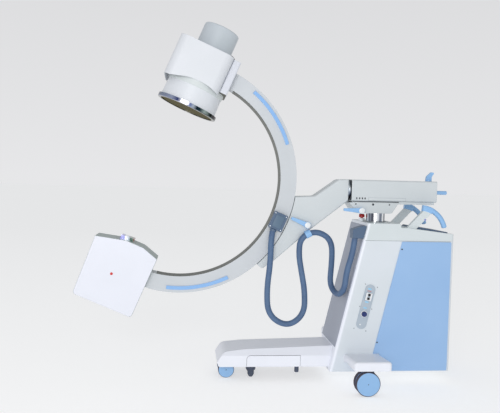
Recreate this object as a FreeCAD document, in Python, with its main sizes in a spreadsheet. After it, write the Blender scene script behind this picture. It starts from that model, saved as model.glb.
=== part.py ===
import FreeCAD, Part
import Sketcher
import math
import os
from FreeCAD import Placement, Rotation, Vector

doc = FreeCAD.newDocument("mobile_c_arm")
sheet = doc.addObject("Spreadsheet::Sheet", "Sizes")


class Size:
    """A length or angle of the sheet: its formula binds properties, its number draws the first outline."""

    def __init__(self, formula, number):
        self.formula = formula
        self.number = float(number)

    def joined(self, sign, other, number):
        return Size("(" + self.formula + " " + sign + " " + other.formula + ")", number)

    def __add__(self, other):
        other = as_size(other)
        return self.joined("+", other, self.number + other.number)

    def __sub__(self, other):
        other = as_size(other)
        return self.joined("-", other, self.number - other.number)

    def __mul__(self, other):
        other = as_size(other)
        return self.joined("*", other, self.number * other.number)

    def __truediv__(self, other):
        other = as_size(other)
        return self.joined("/", other, self.number / other.number)

    def __radd__(self, other):
        return as_size(other) + self

    def __rsub__(self, other):
        return as_size(other) - self

    def __rmul__(self, other):
        return as_size(other) * self

    def __neg__(self):
        return as_size(0) - self


def as_size(value):
    return value if isinstance(value, Size) else Size(repr(float(value)), value)


def cosine(angle):
    return Size("cos(" + angle.formula + " * 1 deg)", math.cos(math.radians(angle.number)))


def sine(angle):
    return Size("sin(" + angle.formula + " * 1 deg)", math.sin(math.radians(angle.number)))


def tangent(angle):
    return Size("tan(" + angle.formula + " * 1 deg)", math.tan(math.radians(angle.number)))


def size(alias, number):
    """One driving dimension, written once in the sheet under its own name."""
    row = len(aliases) + 1
    sheet.set("A%d" % row, alias)
    sheet.set("B%d" % row, str(number))
    sheet.setAlias("B%d" % row, alias)
    aliases.append(alias)
    return Size("Sizes." + alias, number)


aliases = []

# Frame: the lift column stands at column_x, the floor is at zero height, the C lies in the plane of X and Z
column_x = size("column_x", 619.4)
gap = size("running_gap", 0.3)
slip = size("shaft_slip", 0.05)
wall = size("cover_wall", 4)

# Heights and reach of the arm
arm_height = size("arm_axis_height", 1043.4)
c_height = arm_height + size("c_centre_rise", 51.1)
c_reach = size("c_centre_reach", 1095.5)
beam_tilt = size("beam_tilt", 22.9)

# C track
c_inner = size("c_inner_radius", 541)
c_outer = c_inner + size("c_section_depth", 89)
c_half_depth = size("c_half_depth", 48)
c_sweep = size("c_sweep_angle", 167)
c_shift = size("c_shift_angle", 1.4)
slot_half = size("track_slot_half_width", 22)
cavity_half = size("track_cavity_half_width", 37)
lip = size("track_lip", 8)
cavity_depth = size("track_cavity_depth", 34)
track_wall = size("track_wall", 6)
strip_radius = c_outer - size("bumper_strip_setback", 26)
strip_width = size("bumper_strip_width", 19)
strip_height = size("bumper_strip_height", 5)
strip_start = size("bumper_strip_start_angle", 41.2)
strip_end = size("bumper_strip_end_angle", 73.6)

# Arm housing, its rails and the turning collar
housing_front = size("housing_front", 160)
housing_back = size("housing_back", 328)
housing_height = size("housing_height", 118)
housing_half = size("housing_half_width", 75)
housing_corner = size("housing_corner", 10)
collar_radius = size("collar_radius", 60)
collar_width = size("collar_width", 14)
turn_shaft = size("turning_shaft_radius", 30)
turn_bearing = size("turning_bearing_radius", 48)
rail_height = size("rail_height", 14)
rail_width = size("rail_width", 22)
rail_spread = size("rail_spread", 42)

# Lift head under the housing
head_half = size("head_half_width", 68)
head_front = size("head_front", 126)
head_back = size("head_back", 110)
head_slope = size("head_slope", 38)
head_top = arm_height - size("head_top_drop", 67.4)
head_bottom = arm_height - size("head_bottom_drop", 125.4)
ram_radius = size("ram_radius", 52)
ram_wall = size("ram_wall", 7)
ram_spigot = size("ram_spigot_radius", 34)
guide_wall = size("guide_wall", 6)

# Column and top cover
body_half = size("body_half_width", 170)
body_back = size("body_back", 394)
body_bottom = size("body_bottom_height", 62)
front_at_seam = size("column_front_at_seam", 112)
front_lean = size("column_front_lean", 13)
cover_top = arm_height - size("cover_top_drop", 174.4)
seam_height = cover_top - size("cover_height", 93)
cover_deck = cover_top - size("cover_deck_drop", 22)
cover_tail = cover_top - size("cover_tail_drop", 52)
cover_step = size("cover_step", 96)
deck_length = size("deck_length", 36)
body_corner = size("body_corner", 14)
panel_setback = size("panel_setback", 214)
panel_thick = size("panel_thickness", 4)

# Front leg
leg_reach = size("leg_reach", 884)
leg_half = size("leg_half_width", 122)
leg_top = size("leg_top_height", 185)
leg_bottom = size("leg_bottom_height", 76)
leg_nose = leg_top - size("leg_nose_drop", 30)
leg_crease = leg_bottom + size("leg_crease_rise", 61)
leg_lean = size("leg_shoulder_lean", 30)
leg_tip = leg_bottom + size("leg_tip_rise", 22)
leg_wall = size("leg_wall", 5)

# Outriggers and casters
track_half = size("outrigger_half_width", 396)
beam_front = size("outrigger_front", 202)
rear_wheel = size("rear_wheel_radius", 64)
beam_bottom = rear_wheel * 2 + size("outrigger_wheel_gap", 4)
beam_end_top = beam_bottom + size("outrigger_end_thickness", 47)
beam_root_top = beam_bottom + size("outrigger_root_thickness", 28)
rear_stem_x = beam_front - size("rear_stem_setback", 100)
rear_track = track_half - size("rear_stem_inset", 30)
rear_trail = size("rear_caster_trail", 26)
rear_wheel_width = size("rear_wheel_width", 24)
front_wheel = size("front_wheel_radius", 44)
front_stem_x = leg_reach - size("front_stem_setback", 72)
front_track = size("front_half_track", 50)
front_trail = size("front_caster_trail", 17)
front_wheel_width = size("front_wheel_width", 13)
stem_radius = size("caster_stem_radius", 9)


def plane_of(body, role):
    return next(feature for feature in body.Origin.OriginFeatures if feature.Role == role)


def bind(target, path, value):
    """Tie one property to its formula in the sheet."""
    target.setExpression(path, as_size(value).formula)


def new_body(label, base=(0, 0, 0), turn=None):
    """A part of its own, placed by its local origin and an optional turn about one axis."""
    body = doc.addObject("PartDesign::Body", label)
    body.Label = label
    place(body, base, turn)
    return body


def place(item, base=(0, 0, 0), turn=None):
    base = [as_size(value) for value in base]
    spin = Rotation()
    if turn:
        spin = Rotation(Vector(*turn[0]), as_size(turn[1]).number)
    item.Placement = Placement(Vector(*[value.number for value in base]), spin)
    for letter, value in zip("xyz", base):
        bind(item, "Placement.Base." + letter, value)
    if turn:
        bind(item, "Placement.Rotation.Angle", turn[1])
    return item


def new_sketch(body, role, offset=0):
    """A sketch on one origin plane of its own body, moved along that plane's normal."""
    sketch = body.newObject("Sketcher::SketchObject", body.Label + "_sketch")
    sketch.AttachmentSupport = [(plane_of(body, role), "")]
    sketch.MapMode = "FlatFace"
    if isinstance(offset, Size) or offset:
        bind(sketch, "AttachmentOffset.Base.z", offset)
    return sketch


def outline(sketch, corners):
    """A closed outline of straight sides. A corner is (x, y) or (x, y, radius)."""
    spots = [[as_size(value) for value in corner] for corner in corners]
    count = len(spots)
    first = sketch.GeometryCount
    for k in range(count):
        start, end = spots[k], spots[(k + 1) % count]
        sketch.addGeometry(Part.LineSegment(
            Vector(start[0].number, start[1].number, 0), Vector(end[0].number, end[1].number, 0)))
    for k in range(count):
        sketch.addConstraint(Sketcher.Constraint("Coincident", first + (k - 1) % count, 2, first + k, 1))
    for k, spot in enumerate(spots):
        for kind, value in zip(("DistanceX", "DistanceY"), spot):
            held = sketch.addConstraint(Sketcher.Constraint(kind, -1, 1, first + k, 1, value.number))
            bind(sketch, "Constraints[%d]" % held, value)
    for k, spot in enumerate(spots):
        if len(spot) == 3:
            round_corner(sketch, first + (k - 1) % count, first + k, spot)
    return sketch


def round_corner(sketch, before, after, spot):
    corner = Vector(spot[0].number, spot[1].number, 0)
    picks = []
    for line in (before, after):
        side = sketch.Geometry[line]
        far = side.StartPoint if (side.EndPoint - corner).Length < (side.StartPoint - corner).Length else side.EndPoint
        picks.append(corner + (far - corner).normalize() * spot[2].number)
    arc = sketch.GeometryCount
    sketch.fillet(before, after, picks[0], picks[1], spot[2].number, True, True)
    held = sketch.addConstraint(Sketcher.Constraint("Radius", arc, spot[2].number))
    bind(sketch, "Constraints[%d]" % held, spot[2])


def circle(sketch, x, y, radius):
    x, y, radius = as_size(x), as_size(y), as_size(radius)
    ring = sketch.addGeometry(Part.Circle(Vector(x.number, y.number, 0), Vector(0, 0, 1), radius.number))
    for kind, value in (("DistanceX", x), ("DistanceY", y)):
        held = sketch.addConstraint(Sketcher.Constraint(kind, -1, 1, ring, 3, value.number))
        bind(sketch, "Constraints[%d]" % held, value)
    held = sketch.addConstraint(Sketcher.Constraint("Radius", ring, radius.number))
    bind(sketch, "Constraints[%d]" % held, radius)
    return sketch


def rectangle(sketch, left, bottom, right, top, radius=None):
    corners = [(left, bottom), (right, bottom), (right, top), (left, top)]
    if radius is not None:
        corners = [corner + (radius,) for corner in corners]
    return outline(sketch, corners)


def feature(kind, sketch, body, length=None, both=False, back=False):
    """Pad or Pocket of a sketch; both puts half the length on each side of it."""
    made = body.newObject("PartDesign::" + kind, body.Label + "_" + kind.lower())
    made.Profile = sketch
    if both:
        made.SideType = "Symmetric"
    made.Reversed = back
    bind(made, "Length", length)
    return made


def pad(sketch, body, length, both=False, back=False):
    return feature("Pad", sketch, body, length, both, back)


def pocket(sketch, body, length, both=False, back=False):
    return feature("Pocket", sketch, body, length, both, back)


def turned(kind, sketch, body, axis, angle=360, both=False):
    """Revolution or Groove of a sketch about one of its own axes."""
    made = body.newObject("PartDesign::" + kind, body.Label + "_" + kind.lower())
    made.Profile = sketch
    made.ReferenceAxis = (sketch, [axis])
    made.Midplane = both
    bind(made, "Angle", angle)
    return made


def edges_where(shape, test):
    return ["Edge%d" % (k + 1) for k, edge in enumerate(shape.Edges) if test(edge)]


def faces_where(shape, test):
    return ["Face%d" % (k + 1) for k, face in enumerate(shape.Faces) if test(face)]


def along(edge, direction):
    """True for a straight edge that runs along the direction."""
    if edge.Curve.TypeId != "Part::GeomLine":
        return False
    return abs(abs(edge.Curve.Direction.dot(Vector(*direction))) - 1) < 1e-6


def facing(face, direction):
    """True for a flat face whose outward normal is the direction."""
    if face.Surface.TypeId != "Part::GeomPlane":
        return False
    return face.normalAt(0, 0).dot(Vector(*direction)) > 1 - 1e-6


def rounded(body, radius, test):
    doc.recompute()
    names = edges_where(body.Tip.Shape, test)
    made = body.newObject("PartDesign::Fillet", body.Label + "_fillet")
    made.Base = (body.Tip if body.Tip is not made else made.BaseFeature, names)
    bind(made, "Radius", radius)
    body.Tip = made
    return made


def hollowed(body, thickness, test):
    """Turns the solid into a shell of one wall, open at the faces that pass the test."""
    doc.recompute()
    base = body.Tip
    names = faces_where(base.Shape, test)
    made = body.newObject("PartDesign::Thickness", body.Label + "_shell")
    made.Base = (base, names)
    made.Reversed = True
    made.Mode = "Skin"
    made.Join = "Intersection"
    bind(made, "Value", thickness)
    body.Tip = made
    return made


def box(label, low, high):
    """A Part box between two corners, used inside groups of small pieces."""
    item = doc.addObject("Part::Box", label)
    low, high = [as_size(v) for v in low], [as_size(v) for v in high]
    for name, a, b in zip(("Length", "Width", "Height"), low, high):
        bind(item, name, b - a)
    place(item, low)
    return item


def group(label, items, base=(0, 0, 0), turn=None):
    """Separate solids of one kind that share a node."""
    made = doc.addObject("Part::Compound", label)
    made.Label = label
    made.Links = items
    place(made, base, turn)
    return made


nodes = []


def keep(item):
    nodes.append(item)
    return item


# Places that several parts share
beam_turn = ((0, 1, 0), beam_tilt)
c_centre = (column_x - c_reach, 0, c_height)
on_beam = {"base": c_centre, "turn": beam_turn}


# C track: a bent extrusion with an open T slot along its outer edge and a closed cable chamber inside
def build_c_track():
    body = new_body("c_track", c_centre, ((0, 1, 0), beam_tilt - c_shift))
    section = new_sketch(body, "XY_Plane")
    floor = c_outer - lip - cavity_depth
    outline(section, [
        (c_inner, -c_half_depth), (c_outer, -c_half_depth), (c_outer, -slot_half),
        (c_outer - lip, -slot_half), (c_outer - lip, -cavity_half), (floor, -cavity_half),
        (floor, cavity_half), (c_outer - lip, cavity_half), (c_outer - lip, slot_half),
        (c_outer, slot_half), (c_outer, c_half_depth), (c_inner, c_half_depth)])
    rectangle(section, c_inner + track_wall, track_wall - c_half_depth,
              floor - track_wall, c_half_depth - track_wall)
    turned("Revolution", section, body, "V_Axis", c_sweep, both=True)
    return keep(body)


# Bumper strips let into both flanks near the ends of the C
def build_bumper_strips():
    solids = []
    middle = (strip_start + strip_end) / 2
    span = strip_end - strip_start
    for side, flank in (("near", -c_half_depth - strip_height), ("far", c_half_depth)):
        for place_name, centre in (("upper", middle), ("lower", -middle)):
            body = new_body("strip_%s_%s" % (side, place_name))
            section = new_sketch(body, "XY_Plane")
            rectangle(section, strip_radius - strip_width / 2, flank,
                      strip_radius + strip_width / 2, flank + strip_height)
            turned("Revolution", section, body, "V_Axis", span, both=True)
            place(body, (0, 0, 0), ((0, 1, 0), -centre))
            solids.append(body)
    return keep(group("c_bumper_strips", solids, c_centre, ((0, 1, 0), beam_tilt)))


# Image intensifier, on the beam axis
beam_x = size("beam_axis_offset", -126)
input_height = size("input_face_height", 362.5)
drum_radius = size("drum_radius", 156)
drum_top_radius = size("drum_top_radius", 152)
drum_shoulder = size("drum_shoulder_height", 486)
drum_neck = size("drum_neck_radius", 116)
sleeve_top = size("sleeve_top_height", 681)
sleeve_bottom = size("sleeve_bottom_height", 458)
sleeve_left = size("sleeve_left", -303)
sleeve_half = size("sleeve_half_depth", 162)
sleeve_corner = size("sleeve_corner", 46)
sleeve_arch = size("sleeve_arch_rise", 36)
arch_radius = size("sleeve_arch_radius", 300)
arch_shoulder = size("sleeve_arch_shoulder", 34)
sleeve_jamb = size("sleeve_jamb", 10)
sleeve_jamb_side = size("sleeve_jamb_side", 37)
slab_thick = size("slab_thickness", 43)
slab_bottom = size("slab_bottom_height", 491)
slab_half = size("slab_half_width", 108)
ring_radius = size("input_ring_radius", 168)
ring_height = size("input_ring_height", 20)
window_radius = size("input_window_radius", 150)
cap_radius = size("rear_cap_radius", 99)
cap_top = size("rear_cap_top_height", 816)
cap_x = size("rear_cap_offset", -122)
cable_radius = size("cap_cable_radius", 3.5)
left_bend = size("left_cable_bend", 24)
right_bend = size("right_cable_bend", 32)


def build_intensifier():
    drum = new_body("intensifier_drum", **on_beam)
    section = new_sketch(drum, "XZ_Plane")
    ring_top = input_height + ring_height / 4
    outline(section, [
        (beam_x, drum_shoulder - wall), (beam_x, sleeve_top - wall), (beam_x + drum_neck, sleeve_top - wall),
        (beam_x + drum_neck, drum_shoulder), (beam_x + drum_top_radius, drum_shoulder),
        (beam_x + drum_radius, ring_top), (beam_x + drum_radius - wall, ring_top),
        (beam_x + drum_top_radius - wall, drum_shoulder - wall)])
    revolve_about(drum, section, beam_x)
    keep(drum)

    sleeve = new_body("intensifier_sleeve", **on_beam)
    plan = new_sketch(sleeve, "XY_Plane", sleeve_bottom)
    outline(plan, [
        (sleeve_left, -sleeve_half, sleeve_corner), (0, -sleeve_half, sleeve_corner),
        (0, sleeve_half, sleeve_corner), (sleeve_left, sleeve_half, sleeve_corner)])
    pad(plan, sleeve, sleeve_top - sleeve_bottom)
    inside = new_sketch(sleeve, "XY_Plane", sleeve_bottom)
    outline(inside, [
        (sleeve_left + wall, wall - sleeve_half, sleeve_corner - wall), (-sleeve_corner, wall - sleeve_half),
        (-sleeve_jamb, sleeve_jamb_side - sleeve_half), (-sleeve_jamb, wall - slab_half),
        (slab_thick, wall - slab_half), (slab_thick, slab_half - wall), (-sleeve_jamb, slab_half - wall),
        (-sleeve_jamb, sleeve_half - sleeve_jamb_side), (-sleeve_corner, sleeve_half - wall),
        (sleeve_left + wall, sleeve_half - wall, sleeve_corner - wall)])
    pocket(inside, sleeve, sleeve_top - wall - sleeve_bottom, back=True)
    arch = new_sketch(sleeve, "XZ_Plane")
    foot = sleeve_bottom - sleeve_arch
    outline(arch, [
        (sleeve_left - wall, foot), (wall, foot), (wall, sleeve_bottom + sleeve_arch * 0.25),
        (beam_x, sleeve_bottom + sleeve_arch * 1.3, arch_radius),
        (sleeve_left + arch_shoulder, sleeve_bottom), (sleeve_left - wall, sleeve_bottom)])
    pocket(arch, sleeve, sleeve_half * 3, both=True)
    neck = new_sketch(sleeve, "XY_Plane", sleeve_top)
    circle(neck, cap_x, 0, cap_radius - wall)
    pocket(neck, sleeve, wall * 2)
    keep(sleeve)

    ring = new_body("intensifier_ring", **on_beam)
    section = new_sketch(ring, "XZ_Plane")
    low = input_height - ring_height * 0.75
    outline(section, [
        (beam_x + window_radius, low), (beam_x + ring_radius, low, 4), (beam_x + ring_radius, ring_top),
        (beam_x + drum_radius - wall * 2, ring_top), (beam_x + drum_radius - wall * 2, ring_top - wall),
        (beam_x + window_radius, ring_top - wall)])
    revolve_about(ring, section, beam_x)
    keep(ring)

    window = new_body("input_window", **on_beam)
    disc = new_sketch(window, "XY_Plane", low + wall)
    circle(disc, beam_x, 0, window_radius)
    pad(disc, window, wall)
    keep(window)

    cap = new_body("intensifier_rear_cap", **on_beam)
    disc = new_sketch(cap, "XY_Plane", sleeve_top)
    circle(disc, cap_x, 0, cap_radius)
    pad(disc, cap, cap_top - sleeve_top)
    rounded(cap, size("rear_cap_round", 7), lambda edge: edge.BoundBox.ZMin > cap_top.number - 1)
    hollowed(cap, wall, lambda face: facing(face, (0, 0, -1)))
    keep(cap)

    slab = new_body("intensifier_mount", **on_beam)
    plan = new_sketch(slab, "XY_Plane", slab_bottom)
    rectangle(plan, 0, -slab_half, slab_thick, slab_half, 8)
    slab_top = sleeve_top - size("slab_top_drop", 2)
    pad(plan, slab, slab_top - slab_bottom)
    keep(slab)

    cables = []
    for side_name, corner_x, corner_z, bend, middle in (
            ("left", cap_x - cap_radius - gap, sleeve_top + gap, left_bend, 135),
            ("right", cap_x + cap_radius + gap, slab_top + gap, right_bend, 45)):
        cable = new_body("cap_cable_" + side_name, (corner_x, 0, corner_z), ((0, 1, 0), -middle))
        section = new_sketch(cable, "XY_Plane")
        circle(section, bend, 0, cable_radius)
        turned("Revolution", section, cable, "V_Axis", 90, both=True)
        cables.append(cable)
    keep(group("cap_cables", cables, **on_beam))


def revolve_about(body, section, axis_x):
    """A full turn about the vertical line at axis_x, drawn in the sketch as a construction line."""
    length = 10.0
    stroke = Part.LineSegment(Vector(axis_x.number, 0, 0), Vector(axis_x.number, length, 0))
    line = section.addGeometry(stroke, True)
    for end, height in ((1, 0.0), (2, length)):
        held = section.addConstraint(Sketcher.Constraint("DistanceX", -1, 1, line, end, axis_x.number))
        bind(section, "Constraints[%d]" % held, axis_x)
        section.addConstraint(Sketcher.Constraint("DistanceY", -1, 1, line, end, height))
    made = body.newObject("PartDesign::Revolution", body.Label + "_revolution")
    made.Profile = section
    made.ReferenceAxis = (section, ["Axis0"])
    made.Angle = 360
    return made


# Wedge plates that bolt the ends of the C to the intensifier mount and to the tube head
head_left = size("tube_head_left", -285)
head_right = size("tube_head_right", 64)
head_shoulder = size("tube_head_shoulder_height", -470)
head_crown = size("tube_head_crown_height", -429)
head_crown_end = size("tube_head_crown_end", -28)
head_corner = size("tube_head_corner_height", -457)
head_foot = size("tube_head_foot_height", -799)
head_foot_left = size("tube_head_foot_left", -271)
head_foot_round = size("tube_head_foot_round", 18)
head_depth = size("tube_head_half_depth", 85)
head_cover = size("tube_head_cover_thickness", 5)
focus_distance = size("focus_distance", 1000)


def build_end_plates():
    upper_angle = c_sweep / 2 + c_shift
    lower_angle = c_shift - c_sweep / 2
    plates = []
    for label, angle, face in (("upper_end_plate", upper_angle, slab_thick), ("lower_end_plate", lower_angle, head_right)):
        body = new_body(label)
        side = new_sketch(body, "XZ_Plane")
        inner = c_inner * sine(angle)
        outer = c_outer * sine(angle)
        outline(side, [(face, inner), (c_inner * cosine(angle), inner), (c_outer * cosine(angle), outer), (face, outer)])
        pad(side, body, c_half_depth * 2, both=True)
        plates.append(body)
    keep(group("end_plates", plates, **on_beam))


# Tube head: a rim casting closed by two flank covers, with the tube insert inside and the collimator on top
def tube_head_corners(shrink):
    return [
        (head_left + shrink, head_shoulder - shrink), (beam_x, head_crown - shrink),
        (head_crown_end, head_crown - shrink), (head_right - shrink, head_corner - shrink),
        (head_right - shrink, head_foot + shrink, head_foot_round),
        (head_foot_left + shrink, head_foot + shrink, head_foot_round)]


def build_tube_head():
    rim = new_body("tube_head_rim", **on_beam)
    side = new_sketch(rim, "XZ_Plane")
    outline(side, tube_head_corners(as_size(0)))
    pad(side, rim, (head_depth - head_cover) * 2, both=True)
    hollowed(rim, wall, lambda face: facing(face, (0, 1, 0)) or facing(face, (0, -1, 0)))
    keep(rim)

    inset = size("tube_head_cover_inset", 1.5)
    covers = []
    for label, offset, back in (("tube_head_cover_near", head_depth - head_cover, False),
                                ("tube_head_cover_far", head_cover - head_depth, True)):
        body = new_body(label)
        side = new_sketch(body, "XZ_Plane", offset)
        outline(side, tube_head_corners(inset))
        pad(side, body, head_cover, back=back)
        covers.append(body)
    keep(group("tube_head_covers", covers, **on_beam))

    focus = input_height - focus_distance
    insert = new_body("tube_insert", **on_beam)
    side = new_sketch(insert, "XZ_Plane")
    circle(side, beam_x, focus, size("tube_insert_radius", 62))
    pad(side, insert, (head_depth - head_cover) * 2, both=True)
    keep(insert)

    lug = size("collimator_half_width", 37)
    lug_top = size("collimator_top_height", -411)
    rise = (head_crown - head_shoulder) / (beam_x - head_left)
    collimator = new_body("collimator", **on_beam)
    side = new_sketch(collimator, "XZ_Plane")
    outline(side, [
        (beam_x - lug, head_crown - lug * rise), (beam_x, head_crown), (beam_x + lug, head_crown),
        (beam_x + lug, lug_top, 4), (beam_x - lug, lug_top - lug * rise / 2, 4)])
    pad(side, collimator, size("collimator_half_depth", 40) * 2, both=True)
    keep(collimator)


# Cable box in the middle of the C, with the gland that the hose leaves
box_inner = c_inner - size("cable_box_overhang", 1)
box_outer = c_outer - size("cable_box_setback", 12)
box_top = size("cable_box_top", 41)
box_foot = size("cable_box_foot", -55)
box_height = size("cable_box_height", 30)
hose_radius = size("hose_radius", 16)
gland_length = size("gland_length", 12)
gland_x = box_inner + size("gland_offset", 33)


def build_cable_box():
    body = new_body("cable_box", **on_beam)
    side = new_sketch(body, "XZ_Plane", c_half_depth)
    rectangle(side, box_inner, box_foot, box_outer, box_top, 6)
    pad(side, body, box_height)
    rounded(body, 4, lambda edge: edge.BoundBox.YMax < -(c_half_depth + box_height).number + 0.1)
    foot = new_sketch(body, "XY_Plane", box_foot)
    circle(foot, gland_x, -(c_half_depth + box_height / 2 + 4), hose_radius + 2)
    pad(foot, body, gland_length, back=True)
    return keep(body)


# Forearm: one casting from the turning collar to the guide that holds the C from outside
guide_gap = size("guide_gap", 3)
arm_half = size("forearm_half_width", 52)
bay_half = size("guide_bay_half_width", 34)
bay_depth = size("guide_bay_depth", 30)
arm_back = -(housing_front + collar_width)


def guide_spot(name, rise, angle, *radius):
    """A corner of the forearm's outline, set by how far it lies outside the C and where along the C."""
    distance = c_outer + size(name + "_rise", rise)
    turn = size(name + "_angle", angle)
    return (distance * cosine(turn) - c_reach, c_height - arm_height - distance * sine(turn)) + radius


def build_forearm():
    body = new_body("forearm_casting", (column_x, 0, arm_height))
    side = new_sketch(body, "XZ_Plane")
    outline(side, [
        (arm_back, collar_radius), (arm_back - size("forearm_flat", 54), collar_radius - 2, 20),
        (-size("forearm_shoulder", 360), -size("forearm_shoulder_drop", 37), 40),
        guide_spot("guide_top", -9.3, 8.72), guide_spot("guide_lip", -9.15, 48.24),
        guide_spot("guide_tip", 40.05, 47.64, 12), guide_spot("guide_back", 54.35, 41.13, 60),
        guide_spot("forearm_belly", 137.95, 20.67, 120), (arm_back, -collar_radius)])
    pad(side, body, arm_half * 2, both=True)
    rounded(body, size("forearm_edge_round", 9), lambda edge: edge.BoundBox.YLength < 0.01 and edge.BoundBox.XLength > 1)
    c_x, c_z = -c_reach, c_height - arm_height
    groove = new_sketch(body, "XZ_Plane")
    circle(groove, c_x, c_z, c_outer + guide_gap)
    pocket(groove, body, arm_half * 3, both=True)
    bay = new_sketch(body, "XZ_Plane")
    circle(bay, c_x, c_z, c_outer + guide_gap + bay_depth)
    pocket(bay, body, bay_half * 2, both=True)
    keep(body)

    shaft = new_body("turning_shaft", (column_x, 0, arm_height))
    end = new_sketch(shaft, "YZ_Plane", arm_back)
    circle(end, 0, 0, collar_radius)
    pad(end, shaft, collar_width - gap)
    rounded(shaft, 3, lambda edge: True)
    core = new_sketch(shaft, "YZ_Plane", arm_back)
    circle(core, 0, 0, turn_shaft)
    pad(core, shaft, collar_width + turn_depth)
    disc = new_sketch(shaft, "YZ_Plane", -housing_front + turn_depth)
    circle(disc, 0, 0, turn_bearing)
    pad(disc, shaft, size("turning_disc_thickness", 8))
    keep(shaft)


turn_depth = size("turning_shaft_depth", 64)


# Roller trucks: a web reaches through the slot and carries an axle with two rollers in the cavity of the C
upper_truck = size("upper_truck_angle", 15.5)
lower_truck = size("lower_truck_angle", 41)
axle_radius = size("roller_axle_radius", 6)
web_half = size("truck_web_half_width", 9)
foot_half = size("truck_foot_half", 26)
seat_angle = size("truck_seat_angle", 2.24)
foot_thick = size("truck_foot_thickness", 10)
roller_radius = cavity_depth / 2 - gap
truck_radius = c_outer - lip - cavity_depth / 2
truck_seat = c_outer + guide_gap + bay_depth


def build_trucks():
    trucks, rollers = [], []
    for name, angle in (("upper", upper_truck), ("lower", lower_truck)):
        turn = ((0, 1, 0), angle)
        truck = new_body(name + "_roller_truck", (0, 0, 0), turn)
        side = new_sketch(truck, "XZ_Plane")
        half = axle_radius + 6
        seat = truck_seat * cosine(seat_angle) - gap / 10
        shoulder = seat - foot_thick
        outline(side, [
            (truck_radius - half, -half, 8), (shoulder, -half), (shoulder, -foot_half), (seat, -foot_half),
            (seat, foot_half), (shoulder, foot_half), (shoulder, half), (truck_radius - half, half, 8)])
        pad(side, truck, web_half * 2, both=True)
        bar = new_sketch(truck, "XZ_Plane")
        circle(bar, truck_radius, 0, axle_radius)
        pad(bar, truck, (cavity_half - 1) * 2, both=True)
        trucks.append(truck)
        for side_name, start, back in (("near", cavity_half - 2, True), ("far", 2 - cavity_half, False)):
            roller = new_body(name + "_roller_" + side_name, (0, 0, 0), turn)
            ring = new_sketch(roller, "XZ_Plane", start)
            circle(ring, truck_radius, 0, roller_radius)
            circle(ring, truck_radius, 0, axle_radius + slip)
            pad(ring, roller, cavity_half - web_half - 3, back=back)
            rollers.append(roller)
    keep(group("roller_trucks", trucks, c_centre))
    keep(group("guide_rollers", rollers, c_centre))


# Levers: a round hub on a face and a tapered handle
def build_lever(label, base, y_face, hub_radius, hub_length, reach, blade, lift, tilt):
    body = new_body(label, (base[0], y_face, base[1]), ((0, 1, 0), tilt))
    side = new_sketch(body, "XZ_Plane", gap)
    circle(side, 0, 0, hub_radius)
    pad(side, body, hub_length)
    grip = new_sketch(body, "XZ_Plane", lift)
    outline(grip, [(-reach, -blade * 0.5, 5), (0, -blade * 0.85), (0, blade * 0.85), (-reach, blade * 0.4, 5)])
    pad(grip, body, size(label + "_blade_thickness", 11))
    return keep(body)


def build_levers():
    hub_angle = size("orbit_lever_angle", 19.7)
    hub_reach = c_outer + size("orbit_lever_clearance", 108)
    orbit_spot = (c_centre[0] + hub_reach * cosine(hub_angle), c_height - hub_reach * sine(hub_angle))
    build_lever("orbit_brake_lever", orbit_spot, -arm_half, size("orbit_hub_radius", 18), 22,
                size("orbit_lever_reach", 98), size("orbit_lever_width", 17), 8, size("orbit_lever_tilt", 22.6))
    pan_spot = (column_x - head_front + size("pan_lever_setback", 22), head_bottom + size("pan_lever_rise", 14))
    build_lever("pan_brake_lever", pan_spot, -head_half, size("pan_hub_radius", 17), 24,
                size("pan_lever_reach", 102), size("pan_lever_width", 16), 11, size("pan_lever_tilt", 3))


# Arm housing: a box casting, closed behind, with the bearing of the turning shaft let into its open front
def build_housing():
    tube = new_body("arm_housing", (column_x, 0, arm_height))
    section = new_sketch(tube, "YZ_Plane", -housing_front)
    half = housing_height / 2
    rectangle(section, -housing_half, -half, housing_half, half, housing_corner)
    pad(section, tube, housing_front + housing_back)
    rounded(tube, 5, lambda edge: edge.BoundBox.XMin > housing_back.number - 0.1)
    hollowed(tube, wall, lambda face: facing(face, (-1, 0, 0)))
    keep(tube)

    inner_corner = housing_corner - wall
    plate = new_body("turning_bearing", (column_x, 0, arm_height))
    section = new_sketch(plate, "YZ_Plane", -housing_front + 6)
    rectangle(section, wall - housing_half, wall - half, housing_half - wall, half - wall, inner_corner)
    circle(section, 0, 0, turn_shaft + slip)
    pad(section, plate, turn_depth - 12)
    keep(plate)

    rail_end = size("rail_end_setback", 12)
    rails = []
    for name, y in (("near", -rail_spread - rail_width), ("far", rail_spread)):
        rails.append(box("rail_" + name, (10 - housing_front, y, -half - rail_height), (housing_back - rail_end, y + rail_width, -half)))
    keep(group("slide_rails", rails, (column_x, 0, arm_height)))

    rod_body = new_body("rear_lock_rod", (column_x, 0, arm_height))
    end = new_sketch(rod_body, "YZ_Plane", housing_back + gap)
    circle(end, 0, size("rear_rod_drop", -4), size("rear_rod_radius", 11))
    pad(end, rod_body, size("rear_rod_length", 84))
    rounded(rod_body, 3, lambda edge: edge.BoundBox.XMin > (housing_back + 80).number)
    keep(rod_body)

    fin = new_body("slide_lock_lever", (column_x + size("fin_setback", 304), 0, arm_height + half))
    base = new_sketch(fin, "XY_Plane", gap)
    circle(base, 0, 0, size("fin_base_radius", 18))
    pad(base, fin, size("fin_base_height", 10))
    blade = new_sketch(fin, "XZ_Plane")
    outline(blade, [(-17, 10), (16, 10), (16, 26, 10), (32, 50, 5), (12, 53, 5), (-14, 28, 10)])
    pad(blade, fin, size("fin_thickness", 14), both=True)
    keep(fin)


head_nose_drop = size("head_nose_setback", 24)


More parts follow.
